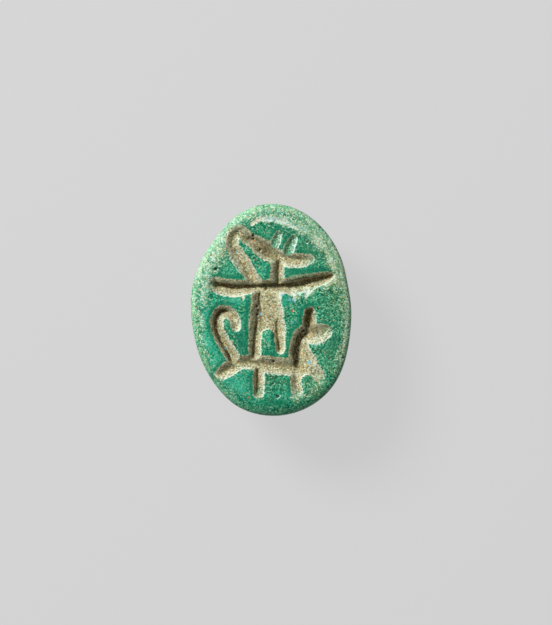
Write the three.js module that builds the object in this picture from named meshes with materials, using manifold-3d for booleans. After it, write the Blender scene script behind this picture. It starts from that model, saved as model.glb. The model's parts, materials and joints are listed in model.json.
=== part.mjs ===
// Ancient Egyptian scarab amulet of moulded green faience: one solid, lying on its back.
//
// The carved oval base faces up, with a winged god standing on a lion sunk into it. Below the base
// plate come the beetle's legs in a recessed waist, and below them its back: wing cases, thorax and
// head. A thread hole runs through the waist from end to end.
//
// Frame: millimetres, +Z up and out of the carved base, +Y towards the beetle's head and the top of
// the carved scene. The origin is the middle of the small flat of the back that the amulet lies on.

import * as THREE from "three";
import { mergeVertices } from "three/addons/utils/BufferGeometryUtils.js";
import Module from "manifold-3d";

const wasm = await Module();
wasm.setup();

// ---- Driving dimensions ----

const LENGTH = 16; // head end to tail end of the base plate
const WIDTH = 12.1; // across the base plate
const HEIGHT = 7.1; // lying flat of the back to the carved face

const BACK_TOP = 3.7; // height at which the back's rim meets the waist
const WAIST_TOP = 5.5; // height at which the waist meets the base plate
const BACK_SHARE = 0.955; // the back's rim, as a share of the base outline
const WAIST_SHARE = 0.895; // the recessed waist, as a share of the base outline
const REST_SHARE = 0.27; // the lying flat, as a share of the base outline
const BACK_SQUARENESS = 2.3; // 2 is a plain ellipse across, more is flatter on top

const EDGE_WIDTH = 1.15; // worn round edge between the carved face and the plate's side
const EDGE_DROP = 0.75; // how far that edge falls below the carved face

const BORE_RADIUS = 0.7; // thread hole
const BORE_HEIGHT = 4.65;
const MOUTH_RADIUS = 1; // flat that the thread has worn round each mouth of the hole
const MOUTH_Y = 6.95;

const SECTORS = 112; // facets round the outline
const BACK_ROWS = 10; // facets from the lying flat to the back's rim
const EDGE_ROWS = 4; // facets across the worn edge

// Swellings and flats that the hand-pressed outline has beside a true oval.
const OUTLINE_BUMPS = [
  { at: 308, spread: 26, out: 0.4 }, // full corner below the lion's forelegs
  { at: 126, spread: 16, out: -0.2 }, // flat beside the god's streamer
  { at: 168, spread: 14, out: 0.1 },
  { at: 18, spread: 14, out: -0.1 },
  { at: 250, spread: 12, out: 0.08 },
];

// ---- Outline and body surface ----

const degrees = THREE.MathUtils.degToRad;

/** Radius of the base outline, in mm, in the direction of a polar angle from +X. */
function outlineRadius(angle) {
  const halfWidth = WIDTH / 2;
  const halfLength = LENGTH / 2;
  const oval =
    (halfWidth * halfLength) / Math.hypot(halfLength * Math.cos(angle), halfWidth * Math.sin(angle));
  let bump = 0;
  for (const { at, spread, out } of OUTLINE_BUMPS) {
    const turn = Math.atan2(Math.sin(angle - degrees(at)), Math.cos(angle - degrees(at)));
    bump += out * Math.exp(-((turn / degrees(spread)) ** 2));
  }
  return oval + bump;
}

/** Polar angle of the oval's point at a phase: even phases give nearly even steps round the rim. */
function ovalAngle(phase) {
  return Math.atan2(LENGTH * Math.sin(phase), WIDTH * Math.cos(phase));
}

/** Uncut height of the back at a share of the outline: 0 at the crown, BACK_TOP at the rim. */
function crownHeight(share) {
  const across = Math.min(1, share / BACK_SHARE) ** BACK_SQUARENESS;
  return 1 - Math.sqrt(1 - across);
}

/** Height of the back's surface at a share of the outline, with the lying flat ground off at 0. */
function backHeight(share) {
  const ground = crownHeight(REST_SHARE);
  return (BACK_TOP * (crownHeight(share) - ground)) / (1 - ground);
}

/** The rings of the body from the lying flat up to the carved face: {share, inset, height}. */
function bodyRings() {
  const rings = [];
  const first = Math.acos(1 - crownHeight(REST_SHARE));
  for (let i = 0; i <= BACK_ROWS; i += 1) {
    const tilt = THREE.MathUtils.lerp(first, Math.PI / 2, i / BACK_ROWS);
    const share = BACK_SHARE * Math.sin(tilt) ** (2 / BACK_SQUARENESS);
    rings.push({ share, height: i === 0 ? 0 : backHeight(share) });
  }
  const lip = 0.12; // small rounding where the waist meets the back's rim and the base plate
  rings.push({ share: BACK_SHARE, height: BACK_TOP + lip });
  rings.push({ share: WAIST_SHARE, height: BACK_TOP + 2 * lip });
  rings.push({ share: WAIST_SHARE, height: WAIST_TOP - lip });
  rings.push({ share: 0.98, height: WAIST_TOP });
  rings.push({ share: 1, height: WAIST_TOP + 2 * lip });
  for (let i = 0; i <= EDGE_ROWS; i += 1) {
    const turn = (Math.PI / 2) * (i / EDGE_ROWS);
    const inset = EDGE_WIDTH * (1 - Math.cos(turn));
    rings.push({ share: 1, inset, height: HEIGHT - EDGE_DROP * (1 - Math.sin(turn)) });
  }
  return rings;
}

/** Closed body: the rings joined by facets, with a flat fan over each end. */
function bodyGeometry() {
  const rings = bodyRings();
  const positions = [];
  for (const { share, inset = 0, height } of rings) {
    for (let k = 0; k < SECTORS; k += 1) {
      const angle = ovalAngle((2 * Math.PI * k) / SECTORS);
      const radius = outlineRadius(angle) * share - inset;
      positions.push(radius * Math.cos(angle), radius * Math.sin(angle), height);
    }
  }
  const lowCentre = positions.length / 3;
  positions.push(0, 0, 0);
  const highCentre = lowCentre + 1;
  positions.push(0, 0, HEIGHT);

  const index = [];
  const lastRing = (rings.length - 1) * SECTORS;
  for (let k = 0; k < SECTORS; k += 1) {
    const next = (k + 1) % SECTORS;
    index.push(lowCentre, next, k);
    index.push(highCentre, lastRing + k, lastRing + next);
    for (let row = 0; row < rings.length - 1; row += 1) {
      const low = row * SECTORS;
      const high = low + SECTORS;
      index.push(low + k, low + next, high + next);
      index.push(low + k, high + next, high + k);
    }
  }
  return closedGeometry(positions, index);
}

/** A BufferGeometry of these corners and triangles. */
function closedGeometry(positions, index) {
  const geometry = new THREE.BufferGeometry();
  geometry.setAttribute("position", new THREE.Float32BufferAttribute(positions, 3));
  geometry.setIndex(index);
  return geometry;
}

// ---- Solids, joined and cut ----

/** A closed three.js geometry as a manifold-3d solid. */
function solidOf(geometry) {
  const bare = geometry.clone();
  bare.deleteAttribute("normal");
  bare.deleteAttribute("uv");
  const merged = mergeVertices(bare);
  const vertProperties = new Float32Array(merged.attributes.position.array);
  const triVerts = new Uint32Array(merged.index.array);
  return new wasm.Manifold(new wasm.Mesh({ numProp: 3, vertProperties, triVerts }));
}

/** A manifold-3d solid as a three.js geometry. */
function geometryOf(solid) {
  const { vertProperties, triVerts } = solid.getMesh();
  const geometry = closedGeometry(Array.from(vertProperties), Array.from(triVerts));
  geometry.computeVertexNormals();
  return geometry;
}

// ---- Grooves and ridges, swept along lines on a surface ----

const CUTTER_LIFT = 0.12; // how far a cutter stands out of the surface that it cuts

/** Cross-section [across, up] of a groove: a floor, leaning to one side, and walls that flare out. */
function grooveSection({ halfWidth, depth, floorShare, lean }) {
  const floorLeft = halfWidth * (lean - floorShare);
  const floorRight = halfWidth * (lean + floorShare);
  const flare = CUTTER_LIFT / depth;
  return [
    [floorLeft, -depth],
    [floorRight, -depth],
    [halfWidth + (halfWidth - floorRight) * flare, CUTTER_LIFT],
    [-halfWidth - (halfWidth + floorLeft) * flare, CUTTER_LIFT],
  ];
}

/** Cross-section [across, up] of a ridge: rooted under the surface, with a rounded top. */
function ridgeSection({ halfWidth, depth }) {
  const root = -0.3;
  return [
    [-halfWidth, root],
    [halfWidth, root],
    [halfWidth * 0.85, depth * 0.65],
    [0, depth],
    [-halfWidth * 0.85, depth * 0.65],
  ];
}

/** A closed solid through the section that each station has across its line. */
function sweep(stations, sectionOf) {
  const positions = [];
  let corners = 0;
  for (const station of stations) {
    const { at, side, out } = station;
    const section = sectionOf(station);
    corners = section.length;
    for (const [across, up] of section) {
      positions.push(...at.clone().addScaledVector(side, across).addScaledVector(out, up).toArray());
    }
  }
  const index = [];
  const end = (stations.length - 1) * corners;
  for (let c = 1; c < corners - 1; c += 1) {
    index.push(0, c + 1, c);
    index.push(end, end + c, end + c + 1);
  }
  for (let s = 0; s < stations.length - 1; s += 1) {
    for (let c = 0; c < corners; c += 1) {
      const a = s * corners + c;
      const b = s * corners + ((c + 1) % corners);
      index.push(a, b, b + corners, a, b + corners, a + corners);
    }
  }
  return solidOf(closedGeometry(positions, index));
}

/** The two smaller stations that round a line's end off, past its last full one. */
function roundedEnd(station, forward) {
  const steps = [
    { reach: 0.55, size: 0.82 },
    { reach: 0.9, size: 0.42 },
  ];
  return steps.map(({ reach, size }) => ({
    ...station,
    at: station.at.clone().addScaledVector(forward, reach * station.halfWidth),
    halfWidth: station.halfWidth * size,
    depth: station.depth * (0.45 + 0.55 * size),
  }));
}

/**
 * A line through points [u, v, halfWidth] on the surface that lift(u, v) gives as {at, out}, as
 * stations with their own frame. blunt leaves its ends square; step is the stations' spacing in mm.
 */
function stationsAlong(points, { lift = onFace, blunt = false, step = 0.62, ...shape }) {
  const line = new THREE.CatmullRomCurve3(
    points.map(([u, v, halfWidth]) => new THREE.Vector3(u, v, halfWidth)),
    false,
    "catmullrom",
    0.5,
  );
  const count = Math.max(points.length - 1, Math.round(line.getLength() / step));
  const nudge = 0.001;
  const stations = [];
  for (let i = 0; i <= count; i += 1) {
    const t = i / count;
    const { x: u, y: v, z: halfWidth } = line.getPoint(t);
    const { x: du, y: dv } = line.getTangent(t);
    const { at, out } = lift(u, v);
    const ahead = lift(u + nudge * du, v + nudge * dv).at.sub(at);
    ahead.addScaledVector(out, -ahead.dot(out)).normalize();
    const side = new THREE.Vector3().crossVectors(out, ahead);
    stations.push({ at, out, ahead, side, halfWidth, ...shape });
  }
  if (!blunt) {
    const [first] = stations;
    const last = stations.at(-1);
    stations.unshift(...roundedEnd(first, first.ahead.clone().negate()).reverse());
    stations.push(...roundedEnd(last, last.ahead));
  }
  return stations;
}

/** A groove's cutter. depth is in mm; floorShare and lean are shares of its half width. */
function groove(points, { floorShare = 0.3, lean = 0, ...options }) {
  return sweep(stationsAlong(points, { floorShare, lean, ...options }), grooveSection);
}

/** A raised ridge, standing depth out of its surface. */
function ridge(points, options) {
  return sweep(stationsAlong(points, options), ridgeSection);
}

/** The carved face: flat, facing up. */
function onFace(x, y) {
  return { at: new THREE.Vector3(x, y, HEIGHT), out: new THREE.Vector3(0, 0, 1) };
}

/** One flank's waist, unrolled: u is the way round from the head end in mm, v the height. */
function onWaist(flank) {
  const unrolledRadius = 6.4;
  const point = (u, v) => {
    const angle = ovalAngle(Math.PI / 2 - (flank * u) / unrolledRadius);
    const radius = outlineRadius(angle) * WAIST_SHARE;
    return new THREE.Vector3(radius * Math.cos(angle), radius * Math.sin(angle), v);
  };
  return (u, v) => {
    const along = point(u + 0.01, v).sub(point(u - 0.01, v)).multiplyScalar(flank);
    return { at: point(u, v), out: new THREE.Vector3(-along.y, along.x, 0).normalize() };
  };
}

/** The beetle's back: the domed surface under the waist, and its outward direction. */
function onBack(x, y) {
  const height = (px, py) => backHeight(Math.hypot(px, py) / outlineRadius(Math.atan2(py, px)));
  const d = 0.02;
  const slopeX = (height(x + d, y) - height(x - d, y)) / (2 * d);
  const slopeY = (height(x, y + d) - height(x, y - d)) / (2 * d);
  const out = new THREE.Vector3(slopeX, slopeY, -1).normalize();
  return { at: new THREE.Vector3(x, y, Math.max(0, height(x, y))), out };
}

// ---- The carved scene: [x, y, half width] along each stroke ----

/** Uncut ground with a round top: the middle of its top at x, y, its half width and its length down. */
function island({ x, y, halfWidth, length }) {
  const reach = 1; // above and below the carved face, past any groove
  const plan = new THREE.Shape();
  plan.moveTo(x + halfWidth, y - length);
  plan.lineTo(x + halfWidth, y - halfWidth);
  plan.absarc(x, y - halfWidth, halfWidth, 0, Math.PI, false);
  plan.lineTo(x - halfWidth, y - length);
  const prism = new THREE.ExtrudeGeometry(plan, {
    depth: 2 * reach,
    bevelEnabled: false,
    curveSegments: 5,
  });
  prism.translate(0, 0, HEIGHT - reach);
  return solidOf(prism);
}

/** The god: wings, neck, head with snout and two ears, streamer, kilt and legs. */
function godGrooves() {
  const underKilt = island({ x: -0.25, y: -1.5, halfWidth: 0.5, length: 1.2 });
  const kilt = groove([[-0.33, 1.5, 0.98], [-0.35, 0.3, 1.12], [-0.3, -1.3, 1.32], [-0.3, -2, 1.3]],
    { depth: 0.42, floorShare: 0.8, blunt: true, step: 1.2 });
  return [
    groove([[-4.35, 1.93, 0.5], [-3.9, 1.75, 0.62], [-2.8, 1.58, 0.66], [-1.6, 1.66, 0.5],
      [0, 1.75, 0.5], [1.2, 1.75, 0.6], [2.1, 1.85, 0.72], [3.2, 2.15, 0.6], [4.1, 2.4, 0.42],
      [4.6, 2.58, 0.2]], { depth: 0.66, floorShare: 0.15, lean: 0.2, step: 0.85 }), // wings
    groove([[0.5, 3.5, 0.42], [0.5, 2.1, 0.44]], { depth: 0.5, floorShare: 0.2 }), // neck
    groove([[-1.15, 4.95, 0.56], [-0.5, 4.5, 0.7], [0.4, 4, 0.6]], { depth: 0.52 }), // nape
    groove([[0.4, 4, 0.55], [1.4, 3.68, 0.5], [2.4, 3.7, 0.46], [2.95, 3.76, 0.34]],
      { depth: 0.48, floorShare: 0.2, lean: 0.35 }), // snout
    groove([[0.3, 4.45, 0.34], [0.5, 5.05, 0.34], [0.72, 5.65, 0.24]], { depth: 0.24 }), // ear
    groove([[1.3, 4.15, 0.34], [1.5, 4.75, 0.36], [1.78, 5.35, 0.26]], { depth: 0.26 }), // other ear
    groove([[-1.72, 5.32, 0.52], [-2.3, 5.82, 0.5], [-2.86, 5.6, 0.5], [-2.98, 4.95, 0.48]],
      { depth: 0.36, floorShare: 0.4, lean: 0.1 }), // streamer's curl
    groove([[-2.96, 4.8, 0.46], [-2.65, 4.05, 0.52], [-2.1, 3.2, 0.52], [-1.55, 2.4, 0.46],
      [-1.1, 1.9, 0.4]], { depth: 0.54, floorShare: 0.2, lean: -0.15, step: 0.75 }), // streamer
    kilt.subtract(underKilt),
    groove([[-1.12, 1.2, 0.42], [-1.15, -1.2, 0.5], [-1.2, -2.2, 0.46], [-1.2, -3.6, 0.43]],
      { depth: 0.62, floorShare: 0.2, lean: -0.1, step: 1.1 }), // left leg
    groove([[0.5, -1, 0.45], [0.56, -1.7, 0.46], [0.66, -2.4, 0.41], [0.7, -3.05, 0.34]],
      { depth: 0.5, floorShare: 0.2, lean: -0.15, step: 0.8 }), // right leg
  ];
}

/** The lion: tail curled over its back, body, four legs, chest, ear and muzzle. */
function lionGrooves() {
  const betweenForelegs = island({ x: 2.72, y: -4.98, halfWidth: 0.44, length: 1.2 });
  const foreleg = groove([[1.9, -4.8, 0.42], [1.95, -5.7, 0.48], [2.05, -6.3, 0.48]],
    { depth: 0.34, floorShare: 0.2, lean: -0.1, step: 0.9 });
  const otherForeleg = groove([[2.9, -4.4, 0.7], [3.45, -4.9, 0.56], [3.72, -5.3, 0.42]],
    { depth: 0.3, lean: -0.2 });
  return [
    groove([[-2.66, -1.3, 0.37], [-2.8, -0.75, 0.42], [-3.2, -0.28, 0.47], [-3.76, -0.22, 0.47],
      [-4.1, -0.7, 0.48], [-4.05, -1.5, 0.47], [-3.72, -2.3, 0.5], [-3.25, -3.1, 0.5],
      [-2.85, -3.8, 0.5]], { depth: 0.58, floorShare: 0.2, lean: -0.15 }), // tail
    groove([[-2.8, -4.05, 0.5], [-1.8, -4, 0.5], [-0.6, -4.13, 0.58], [0.5, -4.24, 0.6],
      [1.9, -4.38, 0.6]], { depth: 0.52, lean: 0.2, step: 0.9 }), // body
    groove([[-2.7, -4.25, 0.5], [-3.35, -4.58, 0.56], [-3.85, -4.95, 0.44]],
      { depth: 0.44, floorShare: 0.2, lean: -0.2 }), // hind leg
    groove([[-0.95, -4.6, 0.4], [-0.95, -5.5, 0.43], [-0.97, -6.45, 0.38]],
      { depth: 0.42, floorShare: 0.2, lean: -0.15, step: 1 }), // other hind leg
    foreleg.subtract(betweenForelegs),
    otherForeleg.subtract(betweenForelegs),
    groove([[2.4, -4.1, 1.05], [2.2, -3.4, 0.88], [2.12, -2.7, 0.68], [2.25, -2.1, 0.62],
      [2.6, -1.7, 0.58]], { depth: 0.64, floorShare: 0.25 }).subtract(betweenForelegs), // chest and neck
    groove([[2.78, -1.3, 0.5], [2.81, -0.7, 0.48], [2.83, -0.25, 0.44]],
      { depth: 0.62, floorShare: 0.2, lean: -0.1 }), // ear
    groove([[2.75, -1.78, 0.62], [3.4, -1.82, 0.7], [3.95, -1.72, 0.52], [4.3, -1.62, 0.34]],
      { depth: 0.46, lean: 0.2 }), // muzzle
  ];
}

// ---- The beetle's back and legs ----

const HEAD_HALF_WIDTH = 2.2;
const HEAD_LINE_Y = 5.2; // thorax ends, head begins
const WING_LINE_Y = 1.9; // wing cases end, thorax begins

/** The incised lines of the back: doubled suture, wing line, head line, shoulder nicks, head teeth. */
function backGrooves() {
  const line = { depth: 0.24, floorShare: 0.2, lift: onBack };
  const nick = { ...line, step: 0.5 };
  const cuts = [
    groove([[-4.9, 1.3, 0.18], [-2.6, 1.75, 0.2], [0, WING_LINE_Y, 0.2], [2.6, 1.75, 0.2],
      [4.9, 1.3, 0.18]], { ...line, step: 0.8 }), // wing line
    groove([[-HEAD_HALF_WIDTH, HEAD_LINE_Y + 0.25, 0.22], [0, HEAD_LINE_Y - 0.15, 0.22],
      [HEAD_HALF_WIDTH, HEAD_LINE_Y + 0.25, 0.22]], { ...line, step: 0.7 }), // head line
  ];
  for (const flank of [-1, 1]) {
    const suture = [1.8, -2, -4.4, -6.7].map((y) => [flank * 0.32, y, 0.15]);
    cuts.push(groove(suture, { ...line, step: 1.6 }));
    cuts.push(groove([[flank * 3.5, 1.45, 0.2], [flank * 3.05, 0.4, 0.12]], nick));
  }
  for (const x of [-0.8, 0, 0.8]) {
    cuts.push(groove([[x, 6.55, 0.14], [x * 1.15, 7.25, 0.22]], nick)); // teeth of the head's edge
  }
  return cuts;
}

/** The bay beside the head, cut down to the forelegs, as a prism of its plan. */
function headBay(flank) {
  const plan = new THREE.Shape();
  plan.moveTo(flank * HEAD_HALF_WIDTH, HEAD_LINE_Y + 0.2);
  plan.lineTo(flank * 1.6, LENGTH);
  plan.lineTo(flank * WIDTH, LENGTH);
  plan.lineTo(flank * WIDTH, 4.1);
  plan.lineTo(flank * 4.9, 4.1);
  plan.quadraticCurveTo(flank * 3.8, HEAD_LINE_Y, flank * HEAD_HALF_WIDTH, HEAD_LINE_Y + 0.2);
  const below = 1;
  const ceiling = BACK_TOP - 0.35;
  const prism = new THREE.ExtrudeGeometry(plan, {
    depth: ceiling + below,
    bevelEnabled: false,
    curveSegments: 6,
  });
  prism.translate(0, 0, -below);
  return solidOf(prism);
}

/** The legs folded along one flank, in relief in the waist: [way round from the head, height, half width]. */
function legRidges(flank) {
  const options = { lift: onWaist(flank), depth: 0.42, step: 1 };
  return [
    ridge([[7.4, 3.95, 0.4], [4.9, 4.7, 0.42], [1.9, 5.15, 0.34]], options), // foreleg, reaching forward
    ridge([[8.5, 3.95, 0.4], [10.2, 4.6, 0.4], [11.7, 5.2, 0.34]], options), // middle leg
    ridge([[12.2, 3.95, 0.42], [14.4, 4.65, 0.42], [17.4, 5.15, 0.32]], options), // hind leg, reaching back
  ];
}

/** The thread hole and the worn flat round each of its mouths. */
function boreCutters() {
  const cylinder = (radius, from, to) => {
    const sides = 24;
    const shape = new THREE.CylinderGeometry(radius, radius, to - from, sides);
    shape.translate(0, (from + to) / 2, BORE_HEIGHT);
    return solidOf(shape);
  };
  const past = LENGTH / 2 + 1;
  return [
    cylinder(BORE_RADIUS, -past, past),
    cylinder(MOUTH_RADIUS, MOUTH_Y, past),
    cylinder(MOUTH_RADIUS, -past, -MOUTH_Y),
  ];
}

/** The whole amulet as one solid. */
function scarabSolid() {
  const raised = [...legRidges(-1), ...legRidges(1)];
  const cutters = [
    ...godGrooves(),
    ...lionGrooves(),
    ...backGrooves(),
    headBay(-1),
    headBay(1),
    ...boreCutters(),
  ];
  const join = (solids) => solids.reduce((joined, solid) => joined.add(solid));
  return join([solidOf(bodyGeometry()), ...raised]).subtract(join(cutters));
}

const faience = new THREE.MeshStandardMaterial({
  name: "green_faience",
  color: new THREE.Color(0.1, 0.45, 0.31),
  roughness: 0.45,
  metalness: 0,
});

const scarab = new THREE.Mesh(geometryOf(scarabSolid()), faience);
scarab.name = "scarab";

const amulet = new THREE.Group();
amulet.add(scarab);

export default amulet;
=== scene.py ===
"""Dresses the scarab amulet: a moulded faience seal lying on its back, carved base up.

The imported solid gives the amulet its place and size. One detailed closed piece stands for it here: the
carved base with its winged god on a lion, the legs in the recessed waist, and the beetle's back. Sizes
in the classes are in millimetres, in the solid's own frame; meshes are written in metres.
"""

import json
import logging
import math
from dataclasses import dataclass, field
from enum import Enum
from typing import Any

import bpy
import numpy as np
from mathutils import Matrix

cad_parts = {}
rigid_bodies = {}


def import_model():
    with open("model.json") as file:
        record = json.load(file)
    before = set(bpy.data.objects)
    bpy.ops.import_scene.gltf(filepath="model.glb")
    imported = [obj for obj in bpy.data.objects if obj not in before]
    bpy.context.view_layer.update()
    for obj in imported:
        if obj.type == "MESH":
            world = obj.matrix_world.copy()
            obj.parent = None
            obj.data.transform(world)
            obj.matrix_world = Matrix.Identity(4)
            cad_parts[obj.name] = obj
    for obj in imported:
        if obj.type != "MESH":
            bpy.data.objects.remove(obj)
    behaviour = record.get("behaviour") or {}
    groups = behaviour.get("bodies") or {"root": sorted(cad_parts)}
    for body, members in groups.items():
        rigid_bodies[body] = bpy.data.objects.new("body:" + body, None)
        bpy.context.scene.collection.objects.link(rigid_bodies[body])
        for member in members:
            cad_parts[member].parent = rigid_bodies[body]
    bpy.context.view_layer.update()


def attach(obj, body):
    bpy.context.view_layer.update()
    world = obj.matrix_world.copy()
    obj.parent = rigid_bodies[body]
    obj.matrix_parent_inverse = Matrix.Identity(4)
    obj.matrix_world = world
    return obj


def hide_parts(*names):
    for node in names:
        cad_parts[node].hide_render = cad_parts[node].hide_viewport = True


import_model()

LOG = logging.getLogger("scarab")
MM = 0.001

FAR = 9.0  # mm, past every stroke
AWAY_X, AWAY_Y = 0.7, -0.71  # the way from the upper left light, seen from above

Array = np.ndarray
Colour = tuple[float, float, float, float]


# ---- Numbers and noise on whole arrays ----


def smooth(low: float, high: float, value: Array | float) -> Array:
    """Returns 0 below low, 1 above high and 3t^2 - 2t^3 between; low may be the larger."""
    t = np.clip((value - low) / (high - low), 0.0, 1.0)
    return t * t * (3.0 - 2.0 * t)


def bell(value: Array, at: float, width: float) -> Array:
    """exp(-((value - at) / width)^2): 1 where value is at, and less on both sides."""
    return np.exp(-(((value - at) / width) ** 2))


def towards(angle: Array, degrees: float) -> Array:
    """0.5 + 0.5 cos of the turn from a direction: 1 towards it and 0 at the far side."""
    return 0.5 + 0.5 * np.cos(angle - math.radians(degrees))


def lattice_noise(x: Array, y: Array, cell: float, seed: int) -> Array:
    """Works out soft noise in -1..1.

    Random values stand on a square lattice, and a point blends its four corners by smoothstep.

    Args:
        x: Positions along the first axis, in mm.
        y: Positions along the second axis, in mm.
        cell: Spacing of the lattice, in mm.
        seed: Picks the lattice's values.

    Returns:
        The noise at each position.
    """
    size = 128  # cells before the lattice repeats, far past the amulet
    values = np.random.default_rng(seed).uniform(-1.0, 1.0, (size, size))
    gx, gy = x / cell, y / cell
    ix, iy = np.floor(gx).astype(int), np.floor(gy).astype(int)
    fx, fy = smooth(0, 1, gx - ix), smooth(0, 1, gy - iy)
    ax, ay, bx, by = ix % size, iy % size, (ix + 1) % size, (iy + 1) % size
    low = values[ax, ay] * (1 - fx) + values[bx, ay] * fx
    high = values[ax, by] * (1 - fx) + values[bx, by] * fx
    return low * (1 - fy) + high * fy


def layered_noise(x: Array, y: Array, cell: float, seed: int, layers: int = 3) -> Array:
    """Adds layers of lattice noise, each with half the cell and 0.55 of the height of the last."""
    total, height, fall, scale = np.zeros_like(x), 1.0, 0.55, 1.6
    for layer in range(layers):
        total += height * lattice_noise(x, y, cell / 2**layer, seed + layer)
        height *= fall
    return total / scale


def body_noise(x: Array, y: Array, z: Array, cell: float, seed: int) -> Array:
    """Noise over a body's whole surface: layered noise on its three planes, each a little sheared."""
    shear, scale = 0.3, 1.8
    return (
        layered_noise(x + shear * z, y, cell, seed)
        + layered_noise(y + shear * x, z, cell, seed + 11)
        + layered_noise(z + shear * y, x, cell, seed + 23)
    ) / scale


def blurred(grid: Array, cells: float) -> Array:
    """Blurs a grid by a Gaussian of this width in cells, along both of its axes in turn."""
    reach = int(3 * cells)
    steps = np.arange(-reach, reach + 1)
    weights = np.exp(-0.5 * (steps / cells) ** 2)
    weights /= weights.sum()
    for axis in (0, 1):
        pad = [(reach, reach) if a == axis else (0, 0) for a in (0, 1)]
        padded = np.pad(grid, pad, mode="edge")
        length = grid.shape[axis]
        parts = [
            w * np.take(padded, range(k, k + length), axis=axis) for k, w in enumerate(weights)
        ]
        grid = np.sum(parts, axis=0)
    return grid


# ---- The outline of the base ----


@dataclass(frozen=True)
class Bump:
    """A swelling (out > 0) or a flat (out < 0) of the outline, in degrees and mm."""

    at: float
    spread: float
    out: float


@dataclass(frozen=True)
class Outline:
    """The hand-pressed oval of the base, from above."""

    length: float = 16.0
    width: float = 12.1
    bumps: tuple[Bump, ...] = (
        Bump(308, 26, 0.4),
        Bump(126, 16, -0.2),
        Bump(168, 14, 0.1),
        Bump(18, 14, -0.1),
        Bump(250, 12, 0.08),
    )

    def radius(self, angle: Array) -> Array:
        """Radius in mm at polar angles: an ellipse's own, plus a Gaussian in angle for each bump."""
        a, b = self.width / 2, self.length / 2
        out = a * b / np.hypot(b * np.cos(angle), a * np.sin(angle))
        for bump in self.bumps:
            at = math.radians(bump.at)
            turn = np.arctan2(np.sin(angle - at), np.cos(angle - at))
            out = out + bump.out * bell(turn, 0, math.radians(bump.spread))
        return out

    def angle(self, phase: Array) -> Array:
        """Polar angle of the oval's point at a phase: even phases step nearly evenly round it."""
        return np.arctan2(self.length * np.sin(phase), self.width * np.cos(phase))


# ---- Strokes ----


@dataclass(frozen=True)
class Stroke:
    """One cut or ridge along a smooth line.

    Each point is (x, y, half width) in mm. The section's depth is (1 - r^n)^m of the whole, r running
    from 0 at its deepest to 1 at the rim; n grows with floor_share, which makes the floor broader, and
    m is the roundness of the worn shoulder. lean moves the deepest place towards the line's left, and
    twist is what the lean gains along the line. slope raises the floor's right side, and glaze is the
    share of the cut that its glaze still covers. spacing is the distance between samples of the line,
    and points further than margin from the rim aren't measured.
    """

    points: tuple[tuple[float, float, float], ...]
    depth: float
    floor_share: float = 0.3
    lean: float = 0.0
    blunt: bool = False
    slope: float = 0.0
    glaze: float = 0.0
    twist: float = 0.0
    shoulder: float = 1.7
    spacing: float = 0.05
    margin: float = 0.7

    def samples(self) -> Array:
        """Points of the uniform Catmull-Rom curve through the stroke's points, spacing apart."""
        p = np.array(self.points)
        p = np.vstack([2 * p[0] - p[1], p, 2 * p[-1] - p[-2]])
        rows = []
        for k in range(len(p) - 3):
            p0, p1, p2, p3 = p[k : k + 4]
            count = max(4, int(np.hypot(*(p2 - p1)[:2]) / self.spacing))
            t = np.linspace(0, 1, count, endpoint=False)[:, None]
            square, cube = 2 * p0 - 5 * p1 + 4 * p2 - p3, 3 * p1 - p0 - 3 * p2 + p3
            rows.append(0.5 * (2 * p1 + (p2 - p0) * t + square * t**2 + cube * t**3))
        return np.vstack([*rows, p[-2][None, :]])

    def measure(self, x: Array, y: Array, ragged: Array) -> tuple[Array, Array, Array]:
        """Measures where points lie in the stroke's section.

        The nearest sample of the line gives a point's offset, as shares of the half width there:
        across, re-centred on the leaning floor, and past the line's ends. Their hypotenuse is 0 on the
        floor's middle and 1 at the rim.

        Args:
            x: Positions across the amulet, in mm.
            y: Positions along it, in mm.
            ragged: Share that the rim is moved by at each position.

        Returns:
            The depth in mm, the distance outside the rim in mm, and how far (-1..1) the point lies
            towards the lower right of the line.
        """
        line = self.samples()
        ahead = np.gradient(line[:, :2], axis=0)
        ahead /= np.linalg.norm(ahead, axis=1, keepdims=True)
        depth = np.zeros_like(x)
        outside = np.full_like(x, FAR)
        facing = np.zeros_like(x)
        reach = line[:, 2].max() + self.margin
        low, high = line[:, :2].min(axis=0) - reach, line[:, :2].max(axis=0) + reach
        near = np.flatnonzero((x > low[0]) & (x < high[0]) & (y > low[1]) & (y < high[1]))
        dx = x[near, None] - line[None, :, 0]
        dy = y[near, None] - line[None, :, 1]
        pick = np.argmin(np.hypot(dx, dy) / line[None, :, 2], axis=1)
        rows = np.arange(len(near))
        ox, oy = dx[rows, pick], dy[rows, pick]
        tx, ty = ahead[pick, 0], ahead[pick, 1]
        half = line[pick, 2]
        across = (oy * tx - ox * ty) / half
        along = np.abs(ox * tx + oy * ty) / half
        at_end = (pick == 0) | (pick == len(line) - 1)
        past = along * np.where(at_end & self.blunt, 4.0, 1.0)
        lean = self.lean + self.twist * pick / (len(line) - 1)
        centred = (across - lean) / np.where(across > lean, 1 - lean, 1 + lean)
        rho = np.hypot(centred, past) + ragged[near]
        share = (1 - np.clip(rho, 0, 1) ** (1.3 / (1 - self.floor_share))) ** self.shoulder
        slope = 1 - self.slope * np.clip(0.5 + 0.5 * across, 0, 1)
        depth[near] = self.depth * share * slope
        outside[near] = (rho - 1) * half
        facing[near] = (AWAY_X * ox + AWAY_Y * oy) / (np.hypot(ox, oy) + 1e-6)
        return depth, outside, facing


@dataclass(frozen=True)
class Pit:
    """A pinhole or chip in the glaze: place, radius and depth in mm, and stretch along x."""

    x: float
    y: float
    radius: float
    depth: float
    stretch: float = 1.0


@dataclass(frozen=True)
class Fleck:
    """A spot of another colour, in mm; tone is -1 for rust and +1 for pale blue."""

    x: float
    y: float
    radius: float
    tone: float


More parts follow.
